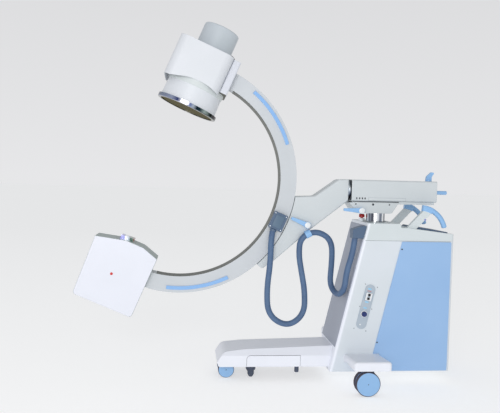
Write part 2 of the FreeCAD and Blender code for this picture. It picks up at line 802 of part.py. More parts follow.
# Lift head: pans on the spigot of the ram and guides the two rails of the housing
def build_lift_head():
    head = new_body("lift_head", (column_x, 0, 0))
    side = new_sketch(head, "XZ_Plane")
    outline(side, [
        (-head_front, head_bottom, 6), (head_back - head_slope, head_bottom, 10),
        (head_back, head_top), (-head_front - size("head_nose", 43), head_top, 3),
        (-head_front - head_nose_drop, head_top - 27, 3)])
    pad(side, head, head_half * 2, both=True)
    end = new_sketch(head, "YZ_Plane")
    rail_foot = arm_height - housing_height / 2 - rail_height
    for y in (-rail_spread - rail_width, rail_spread):
        rectangle(end, y - gap, rail_foot - gap, y + rail_width + gap, head_top + 10)
    pocket(end, head, 700, both=True)
    foot = new_sketch(head, "XY_Plane", head_bottom)
    circle(foot, 0, 0, ram_spigot + slip)
    pocket(foot, head, spigot_height + 1, back=True)
    keep(head)


spigot_height = size("ram_spigot_height", 44)
ram_foot = size("ram_foot_height", 130)
rod_radius = size("lift_rod_radius", 14)
rod_foot = size("lift_rod_foot_height", 110)


def build_lift():
    ram = new_body("lift_ram", (column_x, 0, 0))
    section = new_sketch(ram, "XZ_Plane")
    outline(section, [
        (0, rod_foot), (rod_radius, rod_foot), (rod_radius, head_bottom - ram_wall * 2),
        (ram_radius - ram_wall, head_bottom - ram_wall * 2), (ram_radius - ram_wall, ram_foot),
        (ram_radius, ram_foot), (ram_radius, head_bottom - gap), (ram_spigot, head_bottom - gap),
        (ram_spigot, head_bottom + spigot_height), (0, head_bottom + spigot_height)])
    turned("Revolution", section, ram, "V_Axis")
    keep(ram)

    floor = body_bottom + wall
    guide = new_body("lift_guide_tube", (column_x, 0, floor))
    ring = new_sketch(guide, "XY_Plane")
    circle(ring, 0, 0, ram_radius + slip + guide_wall)
    circle(ring, 0, 0, ram_radius + slip)
    pad(ring, guide, cover_top - floor + size("guide_lip", 3))
    keep(guide)

    drive = new_body("lift_drive", (column_x, 0, floor))
    ring = new_sketch(drive, "XY_Plane")
    circle(ring, 0, 0, rod_radius + slip + size("drive_tube_wall", 7))
    circle(ring, 0, 0, rod_radius + slip)
    pad(ring, drive, size("drive_tube_length", 500))
    foot = new_sketch(drive, "XY_Plane")
    circle(foot, 0, 0, ram_radius - ram_wall - 1)
    pad(foot, drive, rod_foot - floor - 5)
    keep(drive)


root_back = size("outrigger_root_back", -6)


# Column and top cover: two painted shells that meet at the seam
def front_at(height):
    return -front_at_seam - (seam_height - height) * tangent(front_lean)


deck_end = cover_step + deck_length
deck_slope = (cover_deck - cover_tail) / (body_back - deck_end)


def deck_at(x):
    return cover_deck - (x - deck_end) * deck_slope


def upright(edge):
    """A side edge of a cover: it runs in the XZ plane away from the level direction."""
    return edge.BoundBox.YLength < 0.01 and edge.BoundBox.ZLength > 30


def build_column():
    shell = new_body("column_shell", (column_x, 0, 0))
    side = new_sketch(shell, "XZ_Plane")
    outline(side, [
        (front_at(body_bottom), body_bottom), (body_back, body_bottom),
        (body_back, seam_height), (front_at(seam_height), seam_height)])
    pad(side, shell, body_half * 2, both=True)
    rounded(shell, body_corner, upright)
    hollowed(shell, wall, lambda face: facing(face, (0, 0, 1)))
    keep(shell)

    cover = new_body("top_cover", (column_x, 0, 0))
    side = new_sketch(cover, "XZ_Plane")
    outline(side, [
        (front_at(seam_height), seam_height), (body_back, seam_height), (body_back, cover_tail),
        (deck_end, cover_deck), (cover_step, cover_deck), (cover_step - 8, cover_top),
        (front_at(cover_top), cover_top)])
    pad(side, cover, body_half * 2, both=True)
    rounded(cover, body_corner, upright)
    hollowed(cover, wall, lambda face: facing(face, (0, 0, -1)))
    top = new_sketch(cover, "XY_Plane", seam_height)
    circle(top, 0, 0, ram_radius + slip + guide_wall + gap)
    pocket(top, cover, 200, back=True)
    boss = new_sketch(cover, "XY_Plane", cover_top)
    circle(boss, -stop_front, stop_side, stop_cap)
    pad(boss, cover, stop_base)
    bore = new_sketch(cover, "XY_Plane", seam_height)
    circle(bore, -stop_front, stop_side, stop_stem + slip)
    pocket(bore, cover, 200, back=True)
    keep(cover)

    front = new_body("front_panel", (column_x, 0, 0))
    side = new_sketch(front, "XZ_Plane")
    low, high = leg_top + 8, cover_top - 14
    outline(side, [
        (front_at(low) - 3, low), (front_at(low), low), (front_at(high), high), (front_at(high) - 3, high)])
    pad(side, front, (body_half - body_corner - 2) * 2, both=True)
    keep(front)

    panels = []
    for label, offset, back in (("side_panel_near", body_half, False), ("side_panel_far", -body_half, True)):
        panel = new_body(label)
        side = new_sketch(panel, "XZ_Plane", offset)
        top_edge, foot_edge = seam_height - 3, body_bottom + 4
        notch_x, notch_z = root_back + gap, beam_root_top + gap
        outline(side, [
            (notch_x, foot_edge), (body_back - 16, foot_edge, 6), (body_back - 16, top_edge, 6),
            (front_at(top_edge) + panel_setback, top_edge, 6), (front_at(notch_z) + panel_setback, notch_z),
            (notch_x, notch_z)])
        pad(side, panel, panel_thick, back=back)
        panels.append(panel)
    rear = new_body("rear_panel")
    end = new_sketch(rear, "YZ_Plane", body_back)
    rectangle(end, -body_half + 20, body_bottom + 10, body_half - 20, seam_height - 8, 8)
    pad(end, rear, panel_thick)
    panels.append(rear)
    keep(group("column_panels", panels, (column_x, 0, 0)))

    power = new_body("power_unit", (column_x + size("power_unit_setback", 280), 0, body_bottom + wall))
    plan = new_sketch(power, "XY_Plane")
    rectangle(plan, -90, -130, 90, 130, 10)
    pad(plan, power, size("power_unit_height", 330))
    keep(power)

    console = new_body("rear_console", (column_x, 0, 0))
    side = new_sketch(console, "XZ_Plane")
    start, end = deck_end + 66, body_back - 16
    thick = size("console_thickness", 9)
    outline(side, [
        (start, deck_at(start)), (end, deck_at(end)), (end, deck_at(end) + thick * 0.6, 3),
        (start + 8, deck_at(start) + thick, 3)])
    pad(side, console, size("console_half_width", 118) * 2, both=True)
    keep(console)


# Key plate on the flank, leaning with the column
inset_z = size("key_plate_height", 324)
inset_x = front_at(inset_z) + size("key_plate_setback", 106.36)
inset_length = size("key_plate_length", 190)
inset_half = size("key_plate_half_width", 28)
inset_thick = size("key_plate_thickness", 3)
key_side = size("key_side", 12)
key_travel = size("key_travel", 2)


def build_key_plate():
    spot = (column_x + inset_x, -body_half, inset_z)
    lean = ((0, 1, 0), front_lean)
    plate = new_body("key_plate", spot, lean)
    side = new_sketch(plate, "XZ_Plane")
    rectangle(side, -inset_half, -inset_half, inset_half, inset_length + inset_half, inset_half - 1)
    pad(side, plate, inset_thick)
    middle = inset_length * 0.8
    side = new_sketch(plate, "XZ_Plane", inset_thick)
    rectangle(side, -18, middle - 22, 18, middle + 22, 4)
    for z in (middle - 16, middle + 4):
        rectangle(side, -key_side / 2 - gap, z - gap, key_side / 2 + gap, z + key_side + gap)
    pad(side, plate, 6)
    keep(plate)
    for label, z in (("lower_key", middle - 16), ("raise_key", middle + 4)):
        key = new_body(label, spot, lean)
        side = new_sketch(key, "XZ_Plane", inset_thick + key_travel + 1)
        rectangle(side, -key_side / 2, z, key_side / 2, z + key_side, 2)
        pad(side, key, 7)
        keep(key)

    switch = new_body("key_switch", spot, lean)
    side = new_sketch(switch, "XZ_Plane", inset_thick + gap)
    circle(side, 0, inset_length * 0.29, size("key_switch_radius", 14))
    pad(side, switch, 10)
    grip = new_sketch(switch, "XZ_Plane", inset_thick + gap + 10)
    rectangle(grip, -3, inset_length * 0.29 - 11, 3, inset_length * 0.29 + 11, 2)
    pad(grip, switch, 8)
    keep(switch)


stop_front = size("stop_front", 70)
stop_side = size("stop_side", 28)
stop_base = size("stop_base_height", 16)
stop_cap = size("stop_button_radius", 16)
stop_height = size("stop_button_height", 42)
stop_stem = size("stop_stem_radius", 7)
stop_travel = size("stop_travel", 4)


def build_estop():
    button = new_body("stop_button", (column_x - stop_front, stop_side, cover_top))
    section = new_sketch(button, "XZ_Plane")
    foot = -wall - 3
    skirt = stop_base + stop_travel + 1
    outline(section, [
        (0, foot), (stop_stem, foot), (stop_stem, skirt), (stop_cap, skirt, 2),
        (stop_cap, stop_height - 4, 6), (0, stop_height)])
    turned("Revolution", section, button, "V_Axis")
    keep(button)


# Socket where the rear hose ends on the column front
socket_side = size("hose_socket_side", -138)
socket_half = size("hose_socket_half_width", 30)
socket_depth = size("hose_socket_depth", 60)
socket_foot = seam_height + size("hose_socket_rise", 10)


def build_socket():
    body = new_body("hose_socket", (column_x, socket_side, 0))
    side = new_sketch(body, "XZ_Plane")
    high = cover_top - 16
    front = front_at(socket_foot) - 3
    outline(side, [
        (front, socket_foot), (front_at(high) - 3, high), (front_at(high) - 22, high, 5),
        (front - socket_depth, socket_foot + 50, 10), (front - socket_depth, socket_foot)])
    pad(side, body, socket_half * 2, both=True)
    keep(body)


# Front leg: a moulded hull with leaning shoulders over a steel frame, with its side covers, feet and stops
def leg_hull(label, inset):
    """The leg's form, smaller by the inset: its side outline, with both shoulders cut to lean inwards."""
    hull = new_body(label, (column_x, 0, 0))
    side = new_sketch(hull, "XZ_Plane")
    low = leg_bottom - inset * 2
    high = leg_top - inset
    tip = inset - leg_reach
    outline(side, [
        (front_at(low), low), (tip + 12, low, 8), (tip, leg_tip, 10 - inset), (tip + 34, leg_nose - inset, 45 - inset),
        (150 - leg_reach, leg_top - 17 - inset, 200), (front_at(high), high)])
    pad(side, hull, (leg_half - inset) * 2, both=True)
    end = new_sketch(hull, "YZ_Plane")
    past = 1.1
    over = leg_crease + (leg_top - leg_crease) * past
    for sign in (-1, 1):
        flank = (leg_half - inset) * sign
        outline(end, [
            (flank, leg_crease), (flank + leg_lean * sign, leg_crease), (flank + leg_lean * sign, over),
            (flank - leg_lean * past * sign, over)])
    pocket(end, hull, leg_reach * 3, both=True)
    return hull


def build_leg():
    leg = doc.addObject("Part::Cut", "front_leg")
    leg.Base = leg_hull("leg_outside", as_size(0))
    leg.Tool = leg_hull("leg_inside", leg_wall)
    keep(leg)

    frame = new_body("leg_frame", (column_x, 0, 0))
    plan = new_sketch(frame, "XY_Plane", frame_height)
    inside = leg_half - leg_wall
    rectangle(plan, -leg_reach + 44, -inside, front_at(frame_height) - leg_wall * 3, inside)
    pad(plan, frame, frame_thick)
    bosses = new_sketch(frame, "XY_Plane", frame_height + frame_thick)
    for y in (-front_track, front_track):
        circle(bosses, -front_stem_x, y, stem_radius + 9)
    pad(bosses, frame, 30)
    bores = new_sketch(frame, "XY_Plane", frame_height)
    for y in (-front_track, front_track):
        circle(bores, -front_stem_x, y, stem_radius + slip)
    for y in (-foot_side, foot_side):
        circle(bores, -foot_reach, y, foot_stem + slip)
    pocket(bores, frame, 60, back=True)
    keep(frame)

    covers = []
    for name, offset, back in (("near", leg_half, False), ("far", -leg_half, True)):
        cover = new_body("leg_cover_" + name)
        side = new_sketch(cover, "XZ_Plane", offset)
        start, end = foot_reach + 30, size(name + "_leg_cover_end", 430)
        outline(side, [
            (-start, leg_bottom + 2), (-end, leg_bottom + 2), (-end, leg_crease), (-start, leg_crease, 20)])
        pad(side, cover, 2, back=back)
        covers.append(cover)
    keep(group("leg_side_covers", covers, (column_x, 0, 0)))

    feet = []
    for name, y in (("near", -foot_side), ("far", foot_side)):
        foot = new_body("parking_foot_" + name, (-foot_reach, y, 0))
        section = new_sketch(foot, "XZ_Plane")
        collar = frame_height - gap
        top = frame_height + frame_thick + 27
        outline(section, [
            (0, foot_lift), (foot_ball - 8, foot_lift), (foot_ball, foot_lift + 14, 8), (foot_ball, 38),
            (foot_cup, 44, 3), (foot_cup, collar), (foot_stem, collar), (foot_stem, top), (0, top)])
        turned("Revolution", section, foot, "V_Axis")
        feet.append(foot)
    keep(group("parking_feet", feet, (column_x, 0, 0)))

    stops = []
    for name, sign in (("near", -1), ("far", 1)):
        stop = new_body("leg_stop_" + name, (-stop_reach, (leg_half - leg_wall - stop_radius * 1.5) * sign, 0))
        section = new_sketch(stop, "XZ_Plane")
        outline(section, [
            (0, stop_low), (stop_radius, stop_low, 5), (stop_radius, frame_height), (0, frame_height)])
        turned("Revolution", section, stop, "V_Axis")
        stops.append(stop)
    keep(group("leg_stops", stops, (column_x, 0, 0)))


frame_height = front_wheel * 2 + size("leg_frame_wheel_gap", 5)
frame_thick = size("leg_frame_thickness", 8)
foot_reach = leg_reach - size("parking_foot_setback", 192)
foot_side = size("parking_foot_side", 50)
foot_stem = size("parking_foot_stem_radius", 10)
foot_ball = size("parking_foot_ball_radius", 18)
foot_cup = size("parking_foot_cup_radius", 26)
foot_lift = size("parking_foot_lift", 3)
stop_reach = size("leg_stop_reach", 445)
stop_radius = size("leg_stop_radius", 12)
stop_low = size("leg_stop_foot_height", 40)


def build_outriggers():
    beams = []
    for name, sign in (("near", -1), ("far", 1)):
        body = new_body("outrigger_" + name)
        end = new_sketch(body, "YZ_Plane", -beam_front)
        root, tip = body_half * sign, track_half * sign
        outline(end, [
            (root, beam_bottom - 14), (root + 60 * sign, beam_bottom), (tip, beam_bottom), (tip, beam_end_top, 10),
            (root, beam_root_top)])
        pad(end, body, beam_front + root_back)
        rounded(body, 16, lambda edge: along(edge, (0, 0, 1)) and abs(edge.CenterOfMass.y) > track_half.number - 1)
        bore = new_sketch(body, "XY_Plane", beam_bottom)
        circle(bore, -rear_stem_x, rear_track * sign, stem_radius + slip)
        pocket(bore, body, 30, back=True)
        beams.append(body)
    keep(group("outriggers", beams, (column_x, 0, 0)))


axle_pin = size("axle_pin_radius", 5)
crown_gap = size("caster_crown_gap", 1.5)


# Twin-wheel casters: a yoke with its stem, two tyres and two hub discs on one axle
def build_caster(name, x, y, radius, width, trail, top):
    yoke_half = 5
    rim = radius * 0.8
    yoke = new_body(name + "_yoke", (x, y, 0))
    crown = radius * 2 + crown_gap
    stem = new_sketch(yoke, "XY_Plane", crown)
    circle(stem, 0, 0, stem_radius)
    pad(stem, yoke, top - crown)
    blade = new_sketch(yoke, "XZ_Plane")
    outline(blade, [
        (-trail - 14, radius - 12, 8), (-trail + 14, radius - 12, 8), (stem_radius, radius + 14),
        (stem_radius, crown), (-stem_radius, crown), (-trail - 14, radius + 16)])
    pad(blade, yoke, yoke_half * 2, both=True)
    bore = new_sketch(yoke, "XZ_Plane")
    circle(bore, -trail, radius, axle_pin + slip)
    pocket(bore, yoke, 40, both=True)
    keep(yoke)

    wheels = []
    for side_name, sign in (("near", -1), ("far", 1)):
        wheel = new_body(name + "_wheel_" + side_name)
        tread = new_sketch(wheel, "XZ_Plane", -(yoke_half + gap) * sign)
        circle(tread, 0, 0, radius)
        pad(tread, wheel, width, back=sign > 0)
        rounded(wheel, 5, lambda edge: True)
        dish = new_sketch(wheel, "XZ_Plane", -(yoke_half + gap + width) * sign)
        circle(dish, 0, 0, rim)
        circle(dish, 0, 0, rim * 0.45)
        pocket(dish, wheel, 3, back=sign < 0)
        pin = new_sketch(wheel, "XZ_Plane")
        circle(pin, 0, 0, axle_pin)
        pad(pin, wheel, yoke_half + gap + 1, back=sign > 0)
        wheels.append(wheel)
    keep(group(name + "_wheels", wheels, (x - trail, y, radius)))


def build_casters():
    for name, sign in (("near", -1), ("far", 1)):
        build_caster("rear_caster_" + name, column_x - rear_stem_x, rear_track * sign, rear_wheel,
                     rear_wheel_width, rear_trail, beam_bottom + 28)
        build_caster("front_caster_" + name, column_x - front_stem_x, front_track * sign, front_wheel,
                     front_wheel_width, front_trail, frame_height + frame_thick + 28)


# Push handles: a slanted post and an arched grip on each side
handle_side = size("handle_side", 145)
handle_radius = size("handle_arc_radius", 145)
grip_radius = size("grip_radius", 14)
arc_x = size("handle_arc_x", 205)
arc_z = cover_top - size("handle_arc_drop", 54)
post_high = size("post_high_angle", 82)
post_low = size("post_low_angle", 62)
post_thick = size("post_thickness", 24)
grip_middle = size("grip_middle_angle", 45)
grip_span = size("grip_span", 62)


def build_handles():
    seat = handle_radius - grip_radius
    posts, grips = [], []
    for name, sign in (("near", -1), ("far", 1)):
        post = new_body("handle_post_" + name, (0, handle_side * sign, 0))
        side = new_sketch(post, "XZ_Plane")
        right = deck_end + 51
        outline(side, [
            (deck_end, cover_deck), (right, deck_at(right)),
            (arc_x + seat * cosine(post_low), arc_z + seat * sine(post_low)),
            (arc_x + seat * cosine(post_high), arc_z + seat * sine(post_high))])
        pad(side, post, post_thick, both=True)
        posts.append(post)

        grip = new_body("handle_grip_" + name, (arc_x, handle_side * sign, arc_z), ((0, 1, 0), -grip_middle))
        section = new_sketch(grip, "XY_Plane")
        circle(section, handle_radius, 0, grip_radius)
        turned("Revolution", section, grip, "V_Axis", grip_span, both=True)
        rounded(grip, 6, lambda edge: True)
        grips.append(grip)
    keep(group("handle_posts", posts, (column_x, 0, 0)))
    keep(group("handle_grips", grips, (column_x, 0, 0)))


# Hose from the cable box through the clip on the forearm to the socket: straight runs joined by tangent arcs
hose_points = [
    (-593.73, -67, 809.81), (-612.41, -67, 765.59), (-618, -75, 640), (-629, -76, 490), (-621, -75, 352),
    (-510, -74, 286), (-399, -73, 352), (-400, -72, 480), (-424, -72, 585), (-447, -72, 688), (-445, -72, 772),
    (-350, -72, 822), (-255, -66, 770), (-241, -30, 665), (-239, 15, 502), (-216, -65, 455), (-198, -142, 502),
    (-188, -142, 600), (-147, -138, 712), (-147, -138, 786)]


def build_hose():
    points = [Vector(column_x.number + x, y, z) for x, y, z in hose_points]
    start = points[0]
    edges, radii = [], []
    for before, corner, after in zip(points, points[1:], points[2:]):
        back, on = (before - corner), (after - corner)
        half_turn = (math.pi - back.getAngle(on)) / 2
        reach = 0.45 * min(back.Length, on.Length)
        radii.append(reach / math.tan(half_turn))
        back.normalize()
        on.normalize()
        first, last = corner + back * reach, corner + on * reach
        inward = (back + on).normalize()
        middle = corner + inward * (radii[-1] / math.cos(half_turn) - radii[-1])
        edges.append(Part.LineSegment(start, first).toShape())
        edges.append(Part.Arc(first, middle, last).toShape())
        start = last
    edges.append(Part.LineSegment(start, points[-1]).toShape())
    line = Part.Wire(edges)
    section = Part.Wire(Part.Circle(points[0], points[1] - points[0], hose_radius.number).toShape())
    hose = doc.addObject("Part::Feature", "hose")
    hose.Shape = line.makePipeShell([section], True, False)
    hose.Label = "hose"
    print("hose length %.1f radii" % line.Length, [round(radius) for radius in radii])
    print("hose volume over section by length %.4f" % (hose.Shape.Volume / (math.pi * hose_radius.number ** 2 * line.Length)))
    keep(hose)


def build_hose_clip():
    centre_x, centre_z = (hose_points[10][0] + hose_points[11][0]) / 2, (hose_points[10][2] + hose_points[11][2]) / 2
    turn = math.degrees(math.atan2(hose_points[10][2] - hose_points[11][2], hose_points[11][0] - hose_points[10][0]))
    body = new_body("hose_clip", (column_x + centre_x, 0, centre_z), ((0, 1, 0), turn))
    side = -hose_points[10][1]
    band = size("hose_clip_wall", 4)
    ring = new_sketch(body, "YZ_Plane", -size("hose_clip_half_length", 16))
    outer = hose_radius + gap + band
    circle(ring, -side, 0, outer)
    pad(ring, body, size("hose_clip_length", 32))
    lug = new_sketch(body, "YZ_Plane", -size("hose_lug_half_length", 12))
    rectangle(lug, -side, -outer, -arm_half, outer)
    pad(lug, body, size("hose_lug_length", 24))
    bore = new_sketch(body, "YZ_Plane")
    circle(bore, -side, 0, hose_radius + gap)
    pocket(bore, body, 100, both=True)
    keep(body)


build_c_track()
build_bumper_strips()
build_intensifier()
build_end_plates()
build_tube_head()
build_cable_box()
build_forearm()
build_trucks()
build_levers()
build_housing()
build_lift_head()
build_lift()
build_column()
build_key_plate()
build_estop()
build_socket()
build_leg()
build_outriggers()
build_casters()
build_handles()
build_hose()
build_hose_clip()


def check_and_export():
    doc.recompute()
    for item in doc.Objects:
        if "Invalid" in item.State or "Error" in item.State:
            raise SystemExit("failed: " + item.Label + " " + str(item.State))
    os.makedirs("parts", exist_ok=True)
    for item in nodes:
        shape = item.Shape
        if shape.isNull() or not shape.isValid():
            raise SystemExit("bad shape: " + item.Label)
    for item in nodes:
        item.Shape.exportStep("parts/" + item.Label + ".step")
    print(len(nodes), "nodes")


check_and_export()
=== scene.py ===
import bmesh
import bpy
import math
from mathutils import Matrix, Vector


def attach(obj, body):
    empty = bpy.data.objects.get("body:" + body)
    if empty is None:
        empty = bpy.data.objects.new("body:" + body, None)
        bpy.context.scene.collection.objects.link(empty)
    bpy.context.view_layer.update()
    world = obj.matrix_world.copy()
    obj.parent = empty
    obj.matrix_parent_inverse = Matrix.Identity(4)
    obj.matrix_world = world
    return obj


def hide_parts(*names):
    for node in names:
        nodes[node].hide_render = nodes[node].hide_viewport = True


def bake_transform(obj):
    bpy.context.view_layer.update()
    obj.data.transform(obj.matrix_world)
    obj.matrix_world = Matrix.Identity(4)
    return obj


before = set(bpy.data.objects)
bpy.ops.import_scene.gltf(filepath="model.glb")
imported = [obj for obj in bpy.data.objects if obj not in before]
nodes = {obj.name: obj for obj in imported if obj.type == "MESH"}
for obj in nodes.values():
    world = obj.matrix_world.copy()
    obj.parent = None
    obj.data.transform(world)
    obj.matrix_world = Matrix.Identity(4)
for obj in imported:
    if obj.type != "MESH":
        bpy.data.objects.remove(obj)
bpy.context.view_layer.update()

# Camera: the studio shot's own place, level with the arm and square to the side of the machine.
# Yaw, pitch and roll are small, so the machine is seen almost in side view.
camera_data = bpy.data.cameras.new("studio_camera")
camera_data.sensor_width = 36
camera_data.lens = 45.09
camera = bpy.data.objects.new("studio_camera", camera_data)
bpy.context.scene.collection.objects.link(camera)
yaw, pitch, roll = 0.1061, 0.0445, -0.0259
forward = Vector((math.sin(yaw) * math.cos(pitch), math.cos(yaw) * math.cos(pitch), -math.sin(pitch)))
level = Vector((math.cos(yaw), -math.sin(yaw), 0))
down = forward.cross(level)
right = level * math.cos(roll) + down * math.sin(roll)
up = level * math.sin(roll) - down * math.cos(roll)
camera.matrix_world = Matrix((
    (right.x, up.x, -forward.x, -0.4614), (right.y, up.y, -forward.y, -3.4446),
    (right.z, up.z, -forward.z, 1.0928), (0, 0, 0, 1)))
bpy.context.scene.camera = camera


# Hose: one ribbed slate-blue jacket over the high-voltage and signal cables, 32 mm thick.
# It leaves the box on the C, hangs in a bight, is clipped under the forearm, rises over a crest and
# It is cut at each joint and between the two legs of the first bight. The length that rises from the clip is
# carried on the forearm;
# the other lengths stay where they are set.
def linear(code):
    """An sRGB hex colour as linear red, green, blue and alpha."""
    channels = [int(code[i:i + 2], 16) / 255 for i in (1, 3, 5)]
    return [c / 12.92 if c <= 0.04045 else ((c + 0.055) / 1.055) ** 2.4 for c in channels] + [1]


def add_node(tree, kind, settings=(), links=()):
    """One node: settings name its properties or sockets, links join its sockets to other outputs."""
    made = tree.nodes.new(kind)
    for key, value in dict(settings).items():
        if key in made.inputs:
            made.inputs[key].default_value = value
        else:
            setattr(made, key, value)
    for key, socket in dict(links).items():
        tree.links.new(socket, made.inputs[key])
    return made


def new_material(name):
    """An empty node tree with its output, and Object coordinates in metres."""
    made = bpy.data.materials.new(name)
    made.use_nodes = True
    tree = made.node_tree
    tree.nodes.clear()
    output = add_node(tree, "ShaderNodeOutputMaterial")
    place = add_node(tree, "ShaderNodeTexCoord")
    return made, tree, output, place.outputs["Object"]


def joined_jacket(name):
    """Moulded rubber jacket: dull slate blue, ribs every 6 mm, a little paler where hands rub it."""
    made, tree, output, place = new_material(name)
    run = add_node(tree, "ShaderNodeUVMap", {"uv_map": "UVMap"})
    ribs = add_node(tree, "ShaderNodeTexWave", {"bands_direction": "X", "Scale": 1.0},
                    {"Vector": run.outputs[0]})
    patches = add_node(tree, "ShaderNodeTexNoise", {"Scale": 14, "Detail": 3}, {"Vector": place})
    tone = add_node(tree, "ShaderNodeMix", {"data_type": "RGBA"}, {"Factor": patches.outputs[0]})
    tone.inputs["A"].default_value = linear("#42567a")
    tone.inputs["B"].default_value = linear("#5d7b9e")
    bump = add_node(tree, "ShaderNodeBump", {"Strength": 0.35, "Distance": 0.0006},
                    {"Height": ribs.outputs[1]})
    skin = add_node(tree, "ShaderNodeBsdfPrincipled",
                    {"Roughness": 0.48, "IOR": 1.5, "Specular IOR Level": 0.45},
                    {"Base Color": tone.outputs["Result"], "Normal": bump.outputs[0]})
    tree.links.new(skin.outputs[0], output.inputs[0])
    return made


hose_jacket = joined_jacket("rubber_hose_jacket")
hose_radius = 0.016


def hose_length(name, points):
    """A length of hose along its own smooth line, as a round tube of 20 sides with ribs counted along it."""
    line = bpy.data.curves.new(name, "CURVE")
    line.dimensions = "3D"
    line.resolution_u = 14
    spline = line.splines.new("NURBS")
    spline.points.add(len(points) - 1)
    for control, place in zip(spline.points, points):
        control.co = (*[value / 1000 for value in place], 1)
    spline.order_u = 3
    spline.use_endpoint_u = True
    bare = bpy.data.objects.new(name + "_line", line)
    path = [v.co.copy() for v in bpy.data.meshes.new_from_object(bare).vertices]
    length = sum((b - a).length for a, b in zip(path, path[1:]))
    bpy.data.objects.remove(bare)

    mesh = bmesh.new()
    ring = bmesh.ops.create_circle(mesh, segments=20, radius=hose_radius)["verts"]
    start = (path[1] - path[0]).to_track_quat("Z", "Y").to_matrix().to_4x4()
    bmesh.ops.transform(mesh, matrix=Matrix.Translation(path[0]) @ start, verts=ring)
    edges = list(mesh.edges)
    turned = start.to_3x3()
    uv = mesh.loops.layers.uv.new("UVMap")
    along = 0
    for i in range(1, len(path)):
        ahead = path[min(i + 1, len(path) - 1)] - path[i - 1]
        swing = (turned @ Vector((0, 0, 1))).rotation_difference(ahead).to_matrix()
        made = bmesh.ops.extrude_edge_only(mesh, edges=edges)["geom"]
        ring = [item for item in made if isinstance(item, bmesh.types.BMVert)]
        step = (path[i] - path[i - 1]).length
        bmesh.ops.rotate(mesh, cent=path[i - 1], matrix=swing, verts=ring)
        bmesh.ops.translate(mesh, vec=path[i] - path[i - 1], verts=ring)
        for face in [item for item in made if isinstance(item, bmesh.types.BMFace)]:
            for loop in face.loops:
                ahead_here = loop.vert in ring
                loop[uv].uv = ((along + (step if ahead_here else 0)) / 0.006, 0)
        turned = swing @ turned
        along += step
        edges = [item for item in made
                 if isinstance(item, bmesh.types.BMEdge) and all(v in ring for v in item.verts)]
    bmesh.ops.recalc_face_normals(mesh, faces=mesh.faces)
    for face in mesh.faces:
        face.smooth = True
    data = bpy.data.meshes.new(name)
    mesh.to_mesh(data)
    mesh.free()
    data.materials.append(hose_jacket)
    piece = bpy.data.objects.new(name, data)
    bpy.context.scene.collection.objects.link(piece)
    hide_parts("hose")
    return piece, [tuple(point) for point in path], length


front_route = [
    (25.67, -67, 809.81), (18, -72, 768), (14, -98, 640), (-2.6, -100, 490), (10, -88, 350),
    (65.5, -81, 316.5)]
rise_route = [
    (65.5, -81, 316.5), (121, -74, 283), (214, -73, 352), (213, -72, 480), (192, -72, 585), (173, -72, 684),
    (180, -72, 777), (221.9, -72, 797)]
crest_route = [(221.9, -72, 797), (265, -72, 817.6), (356.3, -66, 770), (365, -43.5, 704.4)]
reach_route = [(365, -43.5, 704.4), (370.3, -30, 665), (371.1, -12, 600)]
swing_route = [(371.1, -12, 600), (371.35, -6.4, 579.7), (371.6, -0.75, 559.3)]
drop_route = [
    (371.6, -0.75, 559.3), (372.3, 15, 502), (398, -65, 455), (417, -142, 502), (425, -142, 600),
    (460, -138, 712), (467, -138, 786)]

hose_front, front_path, front_length = hose_length("hose_front", front_route)
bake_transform(hose_front)

hose_rise, rise_path, rise_length = hose_length("hose_rise", rise_route)
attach(hose_rise, "forearm")

hose_crest, crest_path, crest_length = hose_length("hose_crest", crest_route)
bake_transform(hose_crest)

hose_reach = hose_length("hose_reach", reach_route)[0]
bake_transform(hose_reach)

hose_swing = hose_length("hose_swing", swing_route)[0]
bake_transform(hose_swing)

hose_drop, drop_path, drop_length = hose_length("hose_drop", drop_route)
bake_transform(hose_drop)


# C track: a bent aluminium extrusion in pale grey-green powder coat, satin, with fine orange peel.
# Its T slot and the radial end plates are the same coat.
def powder_coat(name, pale, deep, roughness, peel=0.0012, edge=0.0016, painted_highlight=None):
    """Baked powder coat on metal: a soft sheen over fine orange peel, and tone that drifts over 200 mm.
    The column's rounded front corner gets a painted highlight: a paler band along the edge stands in for the
    light it catches."""
    made, tree, output, place = new_material(name)
    drift = add_node(tree, "ShaderNodeTexNoise", {"Scale": 5, "Detail": 2}, {"Vector": place})
    tone = add_node(tree, "ShaderNodeMix", {"data_type": "RGBA"}, {"Factor": drift.outputs[0]})
    tone.inputs["A"].default_value = linear(deep)
    tone.inputs["B"].default_value = linear(pale)
    colour = tone.outputs["Result"]
    # Painted highlight: a paler band along the rounded front corner, where the light catches it.
    if painted_highlight:
        lean = add_node(tree, "ShaderNodeVectorMath", {"operation": "DOT_PRODUCT"}, {0: place})
        lean.inputs[1].default_value = (0.9744, 0, -0.225)
        band = add_node(tree, "ShaderNodeMapRange", {"From Min": 0.338, "From Max": 0.327},
                        {"Value": lean.outputs["Value"]})
        corner = add_node(tree, "ShaderNodeMix", {"data_type": "RGBA"},
                          {"Factor": band.outputs[0], "A": colour})
        corner.inputs["B"].default_value = linear(painted_highlight)
        colour = corner.outputs["Result"]
    grain = add_node(tree, "ShaderNodeTexNoise", {"Scale": 0.35 / peel, "Detail": 2}, {"Vector": place})
    gloss = add_node(tree, "ShaderNodeMapRange", {"To Min": roughness - 0.05, "To Max": roughness + 0.06},
                     {"Value": grain.outputs[0]})
    soft = add_node(tree, "ShaderNodeBevel", {"samples": 6, "Radius": edge})
    bump = add_node(tree, "ShaderNodeBump", {"Strength": 0.12, "Distance": 0.0002},
                    {"Height": grain.outputs[0], "Normal": soft.outputs[0]})
    coat = add_node(tree, "ShaderNodeBsdfPrincipled", {"IOR": 1.5},
                    {"Base Color": colour, "Roughness": gloss.outputs[0], "Normal": bump.outputs[0]})
    tree.links.new(coat.outputs[0], output.inputs[0])
    return made


